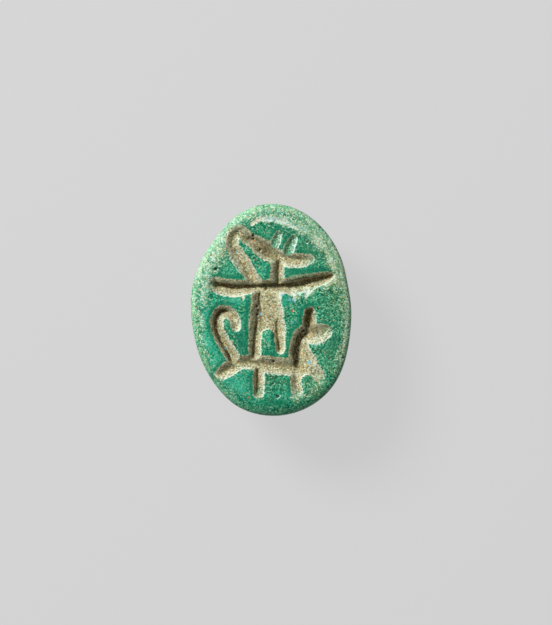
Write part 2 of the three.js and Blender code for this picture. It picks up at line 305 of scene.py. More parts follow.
GOD = (
    Stroke(
        ((-4.35, 1.93, 0.5), (-3.9, 1.75, 0.62), (-2.8, 1.58, 0.66), (-1.6, 1.66, 0.5),
         (0, 1.75, 0.5), (1.2, 1.75, 0.6), (2.1, 1.85, 0.72), (3.2, 2.15, 0.6),
         (4.1, 2.4, 0.42), (4.6, 2.58, 0.2)),
        0.74, 0.05, 0.0, twist=-0.25,
    ),  # wings
    Stroke(((0.46, 3.5, 0.48), (0.46, 2.1, 0.5)), 0.52, 0.15, 0.3),  # neck
    Stroke(
        ((-1.72, 5.3, 0.42), (-1.15, 4.95, 0.6), (-0.5, 4.5, 0.72), (0.4, 4, 0.62)), 0.5, 0.35, 0.05
    ),  # nape
    Stroke(
        ((0.4, 4, 0.6), (1.4, 3.7, 0.56), (2.4, 3.7, 0.5), (2.95, 3.76, 0.36)), 0.4, 0.2, 0.1
    ),  # snout
    Stroke(
        ((0.1, 4.45, 0.36), (0.3, 5.05, 0.36), (0.56, 5.65, 0.26)), 0.22, 0.3, 0.1, glaze=0.88
    ),  # ear
    Stroke(
        ((1.2, 4.15, 0.38), (1.4, 4.75, 0.4), (1.7, 5.35, 0.29)), 0.24, 0.3, 0.1, glaze=0.88
    ),  # other ear
    Stroke(
        ((-1.72, 5.32, 0.52), (-2.3, 5.82, 0.5), (-2.86, 5.6, 0.5), (-2.98, 4.95, 0.48)),
        0.36, 0.4, 0.25, glaze=0.1,
    ),  # streamer's curl
    Stroke(
        ((-2.98, 5.2, 0.4), (-2.94, 4.8, 0.48), (-2.52, 4.1, 0.54), (-1.9, 3.25, 0.53),
         (-1.42, 2.4, 0.54), (-1.0, 1.9, 0.46)),
        0.43, 0.2, 0.15, twist=-0.5,
    ),  # streamer
    Stroke(
        ((-0.33, 1.5, 0.98), (-0.35, 0.3, 1.12), (-0.3, -1.3, 1.32), (-0.3, -2.0, 1.3)),
        0.42, 0.8, blunt=True, slope=0.3,
    ),  # body and kilt
    Stroke(
        ((-1.06, 1.2, 0.42), (-1.1, -0.2, 0.48), (-1.16, -1.2, 0.5), (-1.22, -2.2, 0.46),
         (-1.26, -3.6, 0.46)),
        0.55, 0.1, 0.7, twist=-0.8,
    ),  # left leg
    Stroke(
        ((0.5, -1, 0.45), (0.56, -1.7, 0.46), (0.66, -2.4, 0.41), (0.7, -3.05, 0.34)),
        0.55, 0.1, -0.2,
    ),  # right leg
)

LION = (
    Stroke(
        ((-2.66, -1.3, 0.37), (-2.8, -0.75, 0.42), (-3.2, -0.28, 0.47), (-3.76, -0.22, 0.47)),
        0.42, 0.35, 0.0,
    ),  # tip of the tail
    Stroke(
        ((-3.4, -0.24, 0.45), (-3.76, -0.22, 0.47),
         (-4.1, -0.7, 0.48), (-4.05, -1.5, 0.47), (-3.7, -2.3, 0.52), (-3.2, -3.1, 0.54),
         (-2.82, -3.8, 0.52)),
        0.64, 0.15, 0.05, twist=-0.3,
    ),  # tail
    Stroke(
        ((-2.8, -4.05, 0.5), (-1.8, -4, 0.5), (-0.6, -4.16, 0.61), (0.5, -4.28, 0.65),
         (1.9, -4.42, 0.65)),
        0.44, 0.3, -0.15,
    ),  # body
    Stroke(
        ((-2.7, -4.25, 0.5), (-3.35, -4.58, 0.56), (-3.85, -4.95, 0.44)), 0.44, 0.2, 0.0
    ),  # hind leg
    Stroke(((-0.95, -4.6, 0.4), (-0.95, -5.5, 0.43), (-0.97, -6.45, 0.4)), 0.52, 0.15, -0.2),  # hind leg
    Stroke(((1.9, -4.8, 0.42), (1.95, -5.7, 0.48), (2.05, -6.3, 0.48)), 0.38, 0.15, 0.0),  # foreleg
    Stroke(((2.9, -4.4, 0.7), (3.45, -4.9, 0.56), (3.72, -5.3, 0.42)), 0.3, 0.3, -0.2),  # other foreleg
    Stroke(
        ((2.4, -4.1, 1.05), (2.2, -3.4, 0.88), (2.12, -2.7, 0.68), (2.25, -2.1, 0.62),
         (2.6, -1.7, 0.58)),
        0.67, 0.2, 0.35, twist=-0.85, shoulder=1.5,
    ),  # chest and neck
    Stroke(
        ((2.86, -1.3, 0.5), (2.89, -0.7, 0.48), (2.9, -0.25, 0.44)), 0.66, 0.25, -0.3, shoulder=1.1
    ),  # ear
    Stroke(
        ((2.75, -1.82, 0.7), (3.4, -1.86, 0.8), (3.95, -1.76, 0.6), (4.3, -1.64, 0.38)),
        0.3, 0.5, 0.3,
    ),  # muzzle
)

ISLANDS = (
    Stroke(((-0.25, -2.0, 0.5), (-0.25, -2.8, 0.5)), 1.0, 0.75),  # under the kilt
    Stroke(((2.72, -5.42, 0.44), (2.85, -6.2, 0.44)), 1.0, 0.75),  # between the forelegs
)

SCRATCHES = (
    Stroke(
        ((-1.5, 6.42, 0.15), (-1.1, 6.72, 0.19), (-0.4, 6.82, 0.22), (0.8, 6.66, 0.22),
         (1.5, 6.32, 0.18), (2.0, 6.0, 0.1)),
        0.08,
    ),  # arc over the god
    Stroke(((-0.45, 6.9, 0.09), (-0.36, 7.15, 0.08)), 0.08),
    Stroke(((1.7, 1.35, 0.26), (1.7, 0.9, 0.12), (1.74, 0.6, 0.1)), 0.08),
    Stroke(((2.18, 1.3, 0.12), (2.15, 1.08, 0.06)), 0.07),
    Stroke(((2.6, 1.4, 0.34), (2.68, 0.95, 0.16)), 0.1),
    Stroke(((0.82, 1.3, 0.09), (0.72, 0.75, 0.06)), 0.06),
    Stroke(((-2.1, 1.0, 0.12), (-2.15, 0.68, 0.06)), 0.06),
    Stroke(((3.25, -2.2, 0.1), (3.2, -2.62, 0.07)), 0.06),
    Stroke(((3.75, -2.2, 0.1), (3.9, -2.6, 0.07)), 0.06),
    Stroke(((-3.25, 4.1, 0.05), (-2.85, 3.4, 0.06), (-2.35, 2.75, 0.05)), 0.05),
)


@dataclass(frozen=True)
class Cloud:
    """A soft oval: place and radii in mm, turn in degrees, and strength."""

    x: float
    y: float
    across: float
    along: float
    turn: float
    amount: float

    def share(self, x: Array, y: Array) -> Array:
        """Strength at points: amount times a Gaussian of the turned, scaled distance."""
        c, s = math.cos(math.radians(self.turn)), math.sin(math.radians(self.turn))
        dx, dy = x - self.x, y - self.y
        a, b = (c * dx + s * dy) / self.across, (c * dy - s * dx) / self.along
        return self.amount * np.exp(-(a * a + b * b))


# Rows of Cloud's numbers. "filled" makes strokes shallower, and the others add to the mask of that name.
CLOUDS: dict[str, tuple[tuple[float, ...], ...]] = {
    "worn": (
        (-4.1, 4.3, 0.7, 1.5, -33, 0.85), (-5.1, 1.2, 0.45, 1.2, -8, 0.7), (-4.9, 1.7, 0.3, 0.8, 0, 0.8),
        (0.3, 6.95, 1.7, 0.3, -4, 0.85), (2.2, 6.2, 1.3, 0.5, -30, 0.9), (3.5, 5.2, 1.2, 0.5, -53, 1.0),
        (4.5, 3.7, 1.2, 0.4, -68, 0.85), (4.9, 2.3, 0.9, 0.5, -80, 0.75), (4.3, 1.9, 0.7, 0.3, 30, 0.85),
        (5.5, 0.4, 0.3, 2.6, -4, 0.4), (5.1, -3.2, 0.2, 1.2, -15, 0.5), (3.2, -6.2, 0.8, 0.4, 35, 0.5),
        (-5.3, -0.9, 0.25, 0.8, 8, 0.7), (-2.3, 4.0, 0.5, 0.9, 30, 0.6),
        (-4.85, 2.9, 0.5, 0.9, -25, 0.8), (1.0, 6.6, 1.4, 0.4, -12, 0.85),
        (3.6, -5.5, 0.5, 0.4, -40, 0.4), (2.0, -6.6, 0.7, 0.35, 0, 0.7), (1.9, 1.0, 0.4, 0.3, 0, 0.7),
        # The cloud at (5.45, 3.0) is painted light: paler glaze that offsets the shade of the falling right
        # edge.
        (3.0, 1.2, 0.5, 0.3, 20, 0.7), (5.45, 3.0, 0.22, 1.8, 25, 0.85),
        (-5.45, 2.9, 0.25, 1.0, -22, 0.9), (-5.85, 0.3, 0.2, 1.2, -3, 0.75),
    ),
    "fleck": (
        (0.1, 6.82, 0.9, 0.2, -5, 0.5), (2.3, 6.1, 0.9, 0.2, -32, 0.4),
    ),
    "rim": (
        (-2.9, 1.15, 1.3, 0.25, -3, 0.5), (-2.8, 4.5, 0.3, 0.8, 15, 0.4),
        (-3.1, -2.6, 0.2, 0.7, 30, 0.7),
    ),
    "cool": (
        (-4.9, -0.4, 0.45, 1.5, 4, 0.9), (-2.9, 0.7, 1.2, 0.4, 0, 1.0), (1.1, 0.7, 0.5, 0.5, 0, 0.9),
        (-2.6, -5.7, 1.5, 0.7, -35, 1.0), (1.0, -6.5, 1.0, 0.4, 10, 0.7),
        (-4.6, -2.6, 0.5, 1.4, 15, 1.0), (-2.5, -1.4, 0.4, 0.8, 0, 0.5), (-0.5, 3.0, 0.6, 0.7, 0, 0.5),
        (2.6, -0.9, 0.9, 0.9, 0, 0.3), (-3.9, -4.1, 0.6, 1.2, 30, 1.0), (-2.2, -5.2, 0.8, 0.6, 0, 0.7),
        (-0.2, -2.3, 0.3, 0.5, 0, 0.6), (-3.2, 3.0, 0.6, 0.6, 0, 0.5),
    ),
    # Darker glaze clouds, partly painted shade just outside rims in the shade.
    "pool_and_shade": (
        (-2.3, -2.2, 0.35, 1.2, 12, 0.9), (0.2, -7.0, 1.6, 0.45, 0, 0.8), (1.2, -2.7, 0.3, 1.1, 0, 0.6),
        (1.8, 2.9, 1.3, 0.4, 5, 0.9), (-1.9, -6.9, 1.2, 0.3, -30, 0.7), (4.7, -2.7, 0.4, 0.8, -10, 0.7),
        (3.0, 4.6, 0.8, 0.9, -40, 0.4),
    ),
    "dull": (
        (5.3, -2.8, 0.5, 2.2, -15, 0.9), (4.9, 1.5, 0.9, 3.0, 5, 1.0), (4.6, -3.4, 0.6, 1.4, -15, 0.8),
        (0.5, -5.2, 0.9, 0.7, 0, 0.6), (3.2, 4.6, 1.2, 1.0, -40, 0.7), (3.4, -6.0, 1.2, 1.2, 0, 0.9),
        (0.2, 5.2, 0.8, 0.6, 0, 0.5), (-3.6, 3.6, 0.6, 1.2, 0, 0.5),
    ),
    # Clouds of painted shade and dark earth on walls in the shade, such as the right wing's upper wall.
    "crease": (
        (-0.6, 4.5, 1.1, 0.6, -25, 0.7), (-1.8, 5.6, 0.6, 0.45, 0, 0.5), (2.65, -0.6, 0.35, 0.8, 0, 1.0),
        (-0.1, -0.6, 0.6, 0.25, 10, 0.3), (3.1, -1.55, 0.8, 0.4, 0, 0.65), (2.5, 2.5, 1.8, 0.3, 10, 0.9),
        (1.7, 3.97, 0.9, 0.15, -8, 0.6), (0.35, 2.85, 0.25, 0.7, 0, 0.5),
        (-2.9, -4.2, 0.5, 0.3, 30, 0.35), (1.55, -2.9, 0.25, 1.0, 5, 0.5),
        (-0.87, -0.2, 0.15, 1.2, 3, 0.8), (-0.6, -3.95, 1.2, 0.3, 0, 0.3), (0.4, 1.75, 1.0, 0.2, 0, 0.6),
    ),
    "glazed": (
        (2.4, 2.62, 1.6, 0.14, 10, 0.75), (2.6, 1.3, 1.2, 0.3, 12, 0.6), (-0.95, -6.2, 0.5, 0.4, 0, 0.5),
        (3.6, -5.2, 0.5, 0.5, 0, 0.4), (2.1, -6.4, 0.7, 0.4, 0, 0.5), (4.1, -1.6, 0.4, 0.5, 0, 0.4),
        (2.7, 3.7, 0.4, 0.4, 0, 0.3),
    ),
    "filled": (
        (2.1, -6.75, 0.8, 0.6, 0, 0.8), (3.95, -5.6, 0.7, 0.6, -45, 0.75),
        (-0.95, -6.85, 0.6, 0.35, 0, 0.7), (-4.65, 1.95, 0.6, 0.6, 0, 0.6),
        (3.1, 3.75, 0.5, 0.5, 0, 0.5), (-2.8, -1.0, 0.4, 0.5, 0, 0.35), (-3.95, -5.25, 0.4, 0.4, 0, 0.6),
        (4.5, -1.5, 0.25, 0.5, 0, 0.6),
    ),
}


def clouded(name: str, x: Array, y: Array) -> Array:
    """The largest strength that any cloud of this name has at points."""
    return np.max([Cloud(*row).share(x, y) for row in CLOUDS[name]], axis=0)


PITS = (
    Pit(-4.2, 3.05, 0.13, 0.14, 1.2), Pit(-4.55, 4.1, 0.08, 0.08), Pit(0.45, -6.55, 0.14, 0.12),
    Pit(0.1, -5.6, 0.09, 0.12), Pit(1.55, -0.1, 0.1, 0.08), Pit(-0.87, 4.5, 0.11, 0.12),
    Pit(2.68, 5.1, 0.09, 0.1), Pit(2.95, 5.05, 0.09, 0.1), Pit(-0.45, 1.55, 0.14, 0.12),
    Pit(0.15, -3.9, 0.13, 0.12), Pit(-1.38, 5.6, 0.15, 0.2, 0.8), Pit(-1.12, 0.25, 0.13, 0.12),
    Pit(-1.1, -0.4, 0.12, 0.12), Pit(2.4, -1.6, 0.12, 0.1), Pit(-1.36, 5.35, 0.12, 0.12, 0.8),
)

FLECKS = (
    Fleck(2.85, -4.0, 0.17, 1), Fleck(-0.8, -0.35, 0.12, 1), Fleck(1.6, -0.95, 0.1, 1),
    Fleck(1.4, 0.75, 0.13, 1), Fleck(1.75, 0.6, 0.1, 1), Fleck(0.85, 1.1, 0.11, 1),
    Fleck(-2.65, 4.3, 0.1, 1), Fleck(-3.5, -2.95, 0.1, 1), Fleck(-4.55, 4.1, 0.08, -1),
    Fleck(1.55, -0.1, 0.12, -1), Fleck(-1.34, 5.2, 0.12, -1), Fleck(-1.75, -6.65, 0.08, -1),
)


# ---- The parts of the body's surface ----


@dataclass
class Patch:
    """A stretch of surface: points (n, 3) in mm, and its masks by name, each in 0..1."""

    points: Array
    masks: dict[str, Array]


MASKS = (
    "carved", "rim", "edge", "pool_and_shade", "silt", "crease", "glazed", "worn", "thin", "cool", "dull", "pit",
    "fleck", "rust",
)


def blank_masks(count: int) -> dict[str, Array]:
    """Masks of nothing for this many points."""
    return {name: np.zeros(count) for name in MASKS}


def unit_disc(u: Array, v: Array) -> tuple[Array, Array]:
    """Maps the square -1..1 on the unit disc by x = u sqrt(1 - v^2/2), y = v sqrt(1 - u^2/2).

    Args:
        u: Positions across the square.
        v: Positions along the square.

    Returns:
        Each point's phase round the disc and its share of the disc's radius.
    """
    x, y = u * np.sqrt(1 - v * v / 2), v * np.sqrt(1 - u * u / 2)
    return np.arctan2(y, x), np.minimum(np.hypot(x, y), 1.0)


@dataclass
class Carving:
    """What the strokes do at points.

    depth and apart, the distance outside the nearest rim, are in mm. turned is how far (-1..1) that rim
    lies away from the light, glazed is the share of the cut that glaze covers, and gloom is the share of
    dark earth and painted shade that a stroke of that depth takes.
    """

    depth: Array
    apart: Array
    turned: Array
    glazed: Array
    gloom: Array


@dataclass
class CarvedBase:
    """The flat carved face with its broad worn edge."""

    outline: Outline
    height: float = 7.1
    edge_width: float = 1.15
    edge_drop: float = 0.75
    right_side: float = 0.35
    right_squareness: float = 1.8
    dip: float = 0.03
    depth_gain: float = 1.12
    floor_grain: float = 0.05
    stain_past_rim: float = 0.07
    pinhole_count: int = 150
    pinhole_depth: float = 0.06
    pinhole_radii: tuple[float, float] = (0.05, 0.1)
    pinhole_reach: tuple[float, float] = (5.6, 7.6)
    seed: int = 7

    def level(self, x: Array, y: Array, inset: Array) -> Array:
        """Height in mm: a quarter of a superellipse, squarer at the right, then flat, less soft dips."""
        t = np.clip(1 - inset / self.edge_width, 0, 1)
        power = 2 + self.right_squareness * smooth(-0.1, 0.6, np.cos(np.arctan2(y, x) - self.right_side))
        rounded = self.height - self.edge_drop * (1 - (1 - t**power) ** (1 / power))
        return rounded - self.dip * (0.5 + 0.5 * layered_noise(x, y, 1.4, self.seed + 31))

    def place(self, u: Array, v: Array) -> tuple[Array, Array, Array]:
        """Places the square grid on the face.

        The disc's radius runs evenly over the flat and then evenly in angle round the worn edge.

        Args:
            u: Grid positions across.
            v: Grid positions along.

        Returns:
            x and y in mm, and the distance in from the outline.
        """
        phase, share = unit_disc(u, v)
        angle = self.outline.angle(phase)
        full = self.outline.radius(angle)
        flat = full - self.edge_width
        turn_length = self.edge_width * math.pi / 2
        knee = flat / (flat + turn_length)
        turn = (1 - share) / (1 - knee) * math.pi / 2
        on_edge = full - self.edge_width * (1 - np.cos(np.clip(turn, 0, math.pi / 2)))
        radius = np.where(share < knee, share / knee * flat, on_edge)
        return radius * np.cos(angle), radius * np.sin(angle), full - radius

    def raggedness(self, x: Array, y: Array) -> Array:
        """Share by which strokes' rims wander: fine everywhere, coarse under the right wing."""
        fine = 0.1 * layered_noise(x, y, 0.42, self.seed)
        broken = smooth(0.6, 1.1, x) * smooth(3.4, 2.6, x) * smooth(0.5, 0.8, y) * smooth(1.6, 1.3, y)
        return fine + 0.35 * broken * layered_noise(x, y, 0.5, self.seed + 5)

    def carve(self, x: Array, y: Array, ragged: Array) -> Carving:
        """Joins the strokes: the deepest counts, and the islands stand up out of it.

        Args:
            x: Positions across, in mm.
            y: Positions along, in mm.
            ragged: Share that rims are moved by.

        Returns:
            What the strokes do at each position.
        """
        depth, turned, glazed, gloom = (np.zeros_like(x) for _ in range(4))
        apart = np.full_like(x, FAR)
        for stroke in (*GOD, *LION):
            cut, outside, facing = stroke.measure(x, y, ragged)
            glazed = np.where(cut > depth, stroke.glaze, glazed)
            # Deeper strokes take more dark earth and painted shade.
            gloom = np.where(cut > depth, smooth(0.3, 0.62, stroke.depth), gloom)
            depth = np.maximum(depth, cut)
            turned = np.where(outside < apart, facing, turned)
            apart = np.minimum(apart, outside)
        for island in ISLANDS:
            share, outside, facing = island.measure(x, y, ragged)
            depth = depth * (1 - share)
            turned = np.where(-outside > apart, -facing, turned)
            apart = np.maximum(apart, -outside)
        return Carving(depth, apart, turned, glazed, gloom)

    def build(self, u: Array, v: Array) -> Patch:
        """Builds the face.

        Its height is the lower of the worn surface and the plane less the deepest stroke there, rounded
        and then sunk by pits. The stroke floors carry a low grain.

        Args:
            u: Grid positions across, as a 2-D array.
            v: Grid positions along, as a 2-D array.

        Returns:
            The face's points and masks, row by row.
        """
        shape = u.shape
        x, y, inset = (a.ravel() for a in self.place(u, v))
        surface = self.level(x, y, inset)
        ragged = self.raggedness(x, y)
        cuts = self.carve(x, y, ragged)
        unfilled = 1 - clouded("filled", x, y)
        depth = cuts.depth * unfilled
        scratch = np.zeros_like(x)
        for stroke in SCRATCHES:
            cut, outside, _ = stroke.measure(x, y, 4 * ragged)
            depth = np.maximum(depth, cut)
            scratch = np.maximum(scratch, smooth(0.05, -0.05, outside))
        grain = self.floor_grain * layered_noise(x, y, 0.3, self.seed + 41) * smooth(0.1, 0.3, depth)
        ground = self.height - self.depth_gain * depth + grain
        top = np.where(depth > 0, np.minimum(surface, ground), surface)
        sunk = surface - top
        top = self.rounded(top.reshape(shape)).ravel()
        top, pit, lit_pit_rims = self.pits(x, y, top)
        top, pinholes = self.pinholes(x, y, top, depth)
        away = self.facing_away(x.reshape(shape), y.reshape(shape), top.reshape(shape)).ravel()

        masks = blank_masks(x.size) | self.rims(cuts, unfilled)
        faint = (0.42 + 0.2 * smooth(-0.4, -1.0, x)) * scratch
        # Painted highlight: sunk walls that face the light take a little of the pale rim colour.
        lit = smooth(-0.1, -0.7, away) * smooth(0.05, 0.2, sunk)
        masks["carved"] = np.maximum(masks["carved"], faint)
        masks["rim"] = np.max([masks["rim"], 0.1 * lit, 0.7 * scratch, 0.9 * lit_pit_rims], axis=0)
        masks["silt"] = smooth(0.08, 0.42, depth)
        masks["glazed"] = cuts.glazed
        masks["thin"] = self.thinness(x, y, inset)
        masks["pit"] = np.maximum(pit, pinholes)
        # Dark earth and painted shade: most in deep strokes and on walls that face away from the light.
        masks["crease"] = cuts.gloom * smooth(0.05, 0.5, depth) * smooth(-0.1, 0.45, away)
        masks["worn"] = self.edge_wear_and_light(x, y, inset)
        self.spot(x, y, sunk, masks)
        return Patch(np.column_stack([x, y, top]), masks)

    def rims(self, cuts: Carving, unfilled: Array) -> dict[str, Array]:
        """Works out the masks that follow the strokes' rims.

        The stained ground ends a little outside a rim in the shade. Such a rim has painted brown shade on
        its edge and painted shade, darker glaze, just outside it; a rim in the light is painted pale,
        partly worn glaze and partly painted highlight.

        Args:
            cuts: What the strokes do at each position.
            unfilled: The share of a stroke's depth that is left there.

        Returns:
            The masks by name.
        """
        shaded = smooth(0.1, -0.6, cuts.turned) * unfilled
        worn = np.maximum(bell(cuts.apart, -0.04, 0.06), 0.35 * bell(cuts.apart, -0.2, 0.18))
        return {
            "carved": smooth(0.03, -0.09, cuts.apart - self.stain_past_rim * shaded) * unfilled,
            # Painted highlight, with some worn pale glaze: rims that face the light.
            "rim": worn * smooth(-0.1, 0.6, cuts.turned) * unfilled,
            # Painted shade: a brown band on rims that face away from the light.
            "edge": bell(cuts.apart, -0.02, 0.11) * shaded * (1 - cuts.glazed),
            # Painted shade: darker glaze just outside rims in the shade.
            "pool_and_shade": bell(cuts.apart, 0.2, 0.13) * shaded,
        }

    def spot(self, x: Array, y: Array, sunk: Array, masks: dict[str, Array]) -> None:
        """Raises masks by their clouds, and by flecks of rust and blue.

        Args:
            x: Positions across, in mm.
            y: Positions along, in mm.
            sunk: Depth under the worn surface; only sunk ground takes clouds of painted shade and dark
                earth.
            masks: The masks by name, which are changed.
        """
        for name in MASKS:
            if name not in CLOUDS:
                continue
            share = clouded(name, x, y)
            if name == "crease":
                share = share * smooth(0.0, 0.15, sunk)
            masks[name] = np.maximum(masks[name], share)
        for f in FLECKS:
            r = np.hypot(x - f.x, y - f.y) / f.radius
            name = "fleck" if f.tone > 0 else "rust"
            masks[name] = np.maximum(masks[name], smooth(1.3, 0.5, r))

    def rounded(self, top: Array) -> Array:
        """Rounds the strokes' shoulders: three quarters of a narrow blur and a quarter of a wide one."""
        return 0.75 * blurred(top, 0.8) + 0.25 * blurred(top, 2.4)

    def pits(self, x: Array, y: Array, top: Array) -> tuple[Array, Array, Array]:
        """Sinks the larger pits, as bowls d (1 - r^2).

        Args:
            x: Positions across, in mm.
            y: Positions along, in mm.
            top: Heights so far.

        Returns:
            The heights with the pits, their mask, and the mask of the painted highlight on their rims that
            face the light.
        """
        pit, lit_pit_rims = np.zeros_like(x), np.zeros_like(x)
        for p in PITS:
            r = np.hypot((x - p.x) / p.stretch, y - p.y) / p.radius
            bowl = np.clip(1 - r * r, 0, 1)
            top = top - p.depth * bowl
            pit = np.maximum(pit, np.sqrt(bowl))
            low_right = AWAY_X * (x - p.x - y + p.y) / (p.radius * np.maximum(r, 0.5))
            # Painted highlight: a pale crescent where each pit's rim faces the light.
            lit_pit_rims = np.maximum(lit_pit_rims, bell(r, 1.2, 0.35) * smooth(0.1, 0.8, low_right))
        return top, pit, lit_pit_rims

    def pinholes(self, x: Array, y: Array, top: Array, depth: Array) -> tuple[Array, Array]:
        """Scatters small pinholes over the face, as bowls d (1 - r^2).

        Args:
            x: Positions across, in mm.
            y: Positions along, in mm.
            top: Heights so far.
            depth: Stroke depths, where pinholes show less.

        Returns:
            The heights with the pinholes, and their mask.
        """
        rng = np.random.default_rng(self.seed + 61)
        mask = np.zeros_like(x)
        for _ in range(self.pinhole_count):
            px, py = (rng.uniform(-reach, reach) for reach in self.pinhole_reach)
            radius = rng.uniform(*self.pinhole_radii)
            near = np.flatnonzero((np.abs(x - px) < radius) & (np.abs(y - py) < radius))
            r = np.hypot(x[near] - px, y[near] - py) / radius
            bowl = np.clip(1 - r * r, 0, 1)
            top[near] -= self.pinhole_depth * bowl
            mask[near] = np.maximum(mask[near], bowl * np.where(depth[near] > 0.1, 0.3, 0.85))
        return top, mask

    def facing_away(self, x: Array, y: Array, top: Array) -> Array:
        """Slope of the ground towards the upper left: above 0 where it looks to the lower right.

        The grid's steps in x, y and height give the two slopes by Cramer's rule.

        Args:
            x: Positions across, as a 2-D array.
            y: Positions along, as a 2-D array.
            top: Heights, as a 2-D array.

        Returns:
            The slope at each point, as rise over run.
        """
        (xa, xb), (ya, yb), (za, zb) = (np.gradient(g) for g in (x, y, top))
        area = xa * yb - xb * ya
        area = np.where(np.abs(area) < 1e-9, 1e-9, area)
        across, along = (za * yb - zb * ya) / area, (xa * zb - xb * za) / area
        return -AWAY_Y * (along - across)

    def edge_wear_and_light(self, x: Array, y: Array, inset: Array) -> Array:
        """Marks where the glaze is thin and pale round the edge, most at the upper left, and a paler right
        band that is partly painted light.
        """
        angle = np.arctan2(y, x)
        upper_left = towards(angle, 140)
        edge = smooth(1.4, 0.4, inset) * np.maximum(smooth(0.05, 0.35, inset), upper_left**2)
        # Partly painted light: the right edge falls away from the light, and this paler band offsets its
        # shade.
        right = smooth(0.1, 0.7, np.cos(angle - self.right_side)) * bell(inset, 0.32, 0.35)
        elsewhere = smooth(0.3, -0.5, np.cos(angle - math.radians(245)))
        return np.maximum(edge * (0.1 + 0.2 * elsewhere + 0.35 * upper_left), 0.6 * right)

    def thinness(self, x: Array, y: Array, inset: Array) -> Array:
        """Marks the narrow outermost edge, where the glaze ran thin, least at the lower right."""
        lower_right = towards(np.arctan2(y, x), 295)
        return smooth(0.55, 0.2, inset) * (1 - 0.8 * lower_right**2)


@dataclass
class LegWaist:
    """The side of the base plate, the recessed waist with three legs a side, and the back's rim."""

    outline: Outline
    back_top: float = 3.7
    waist_top: float = 5.5
    plate_top: float = 6.35
    back_share: float = 0.955
    waist_share: float = 0.895
    lip: float = 0.12
    leg_proud: float = 0.42
    lump: float = 0.03
    unrolled_radius: float = 6.4
    plate_rows: int = 5
    waist_rows: int = 20
    legs: tuple[tuple[tuple[float, float, float], ...], ...] = (
        ((7.4, 3.95, 0.4), (4.9, 4.7, 0.42), (1.9, 5.15, 0.34)),
        ((8.5, 3.95, 0.4), (10.2, 4.6, 0.4), (11.7, 5.2, 0.34)),
        ((12.2, 3.95, 0.42), (14.4, 4.65, 0.42), (17.4, 5.15, 0.32)),
    )
    seed: int = 101

    def levels(self) -> list[tuple[float, float]]:
        """(share of the outline, height) of each ring between the face and the back."""
        plate = np.linspace(self.plate_top, self.waist_top + 2 * self.lip, self.plate_rows)
        waist = np.linspace(self.waist_top - self.lip, self.back_top + 2 * self.lip, self.waist_rows)
        under_plate = ((0.996, 1.2), (0.988, 0.4), (0.97, 0.0), (0.93, -0.3))
        over_back = ((0.915, 1.3), (0.94, 1.05), (self.back_share, 0.8))
        return [
            *((1.0, z) for z in plate[1:]),
            *((share, self.waist_top + k * self.lip) for share, k in under_plate),
            *((self.waist_share, z) for z in waist),
            *((share, self.back_top + k * self.lip) for share, k in over_back),
        ]

    def build(self, phase: Array) -> Patch:
        """Builds the rings.

        A ring is the outline times its share; a leg stands out of the waist by proud sqrt(1 - d^2),
        where d is the distance from its line as a share of its half width.

        Args:
            phase: The phase of each point round a ring.

        Returns:
            The rings' points and masks, from the plate's top down.
        """
        angle = self.outline.angle(phase)
        full = self.outline.radius(angle)
        levels = np.array(self.levels())
        share, z = (np.repeat(levels[:, k], phase.size) for k in (0, 1))
        angle, full = np.tile(angle, len(levels)), np.tile(full, len(levels))
        oval_phase = np.tile(phase, len(levels))
        from_head = np.abs(np.arctan2(np.cos(oval_phase), np.sin(oval_phase)))
        around = self.unrolled_radius * from_head
        beside = np.full_like(z, FAR)
        even = np.zeros_like(z)
        for leg in self.legs:
            _, outside, _ = Stroke(leg, 1.0).measure(around, z, even)
            beside = np.minimum(beside, outside)
        inside = np.clip(-beside / 0.4, 0, 1)
        proud = self.leg_proud * np.sqrt(1 - (1 - inside) ** 2)
        in_waist = smooth(self.back_share, self.waist_share + 0.005, share)
        radius = full * share + proud * in_waist
        x, y = radius * np.cos(angle), radius * np.sin(angle)
        lumps = self.lump * body_noise(x, y, z, 1.5, self.seed)
        radius = radius + lumps - 0.02
        x, y = radius * np.cos(angle), radius * np.sin(angle)
        masks = blank_masks(x.size)
        sheltered = smooth(0.945, 0.9, share) * (1 - inside)
        masks["carved"] = 0.75 * sheltered
        masks["silt"] = sheltered
        # Painted shade in the recessed waist, darkest beside the legs.
        masks["crease"] = sheltered * (0.35 + 0.65 * bell(beside, 0, 0.2))
        masks["worn"] = np.clip(0.12 + 0.5 * inside**2 * in_waist, 0, 1) * (1 - 0.5 * sheltered)
        masks["dull"] = np.clip(0.4 + 0.5 * lumps / self.lump, 0, 1)
        return Patch(np.column_stack([x, y, z]), masks)


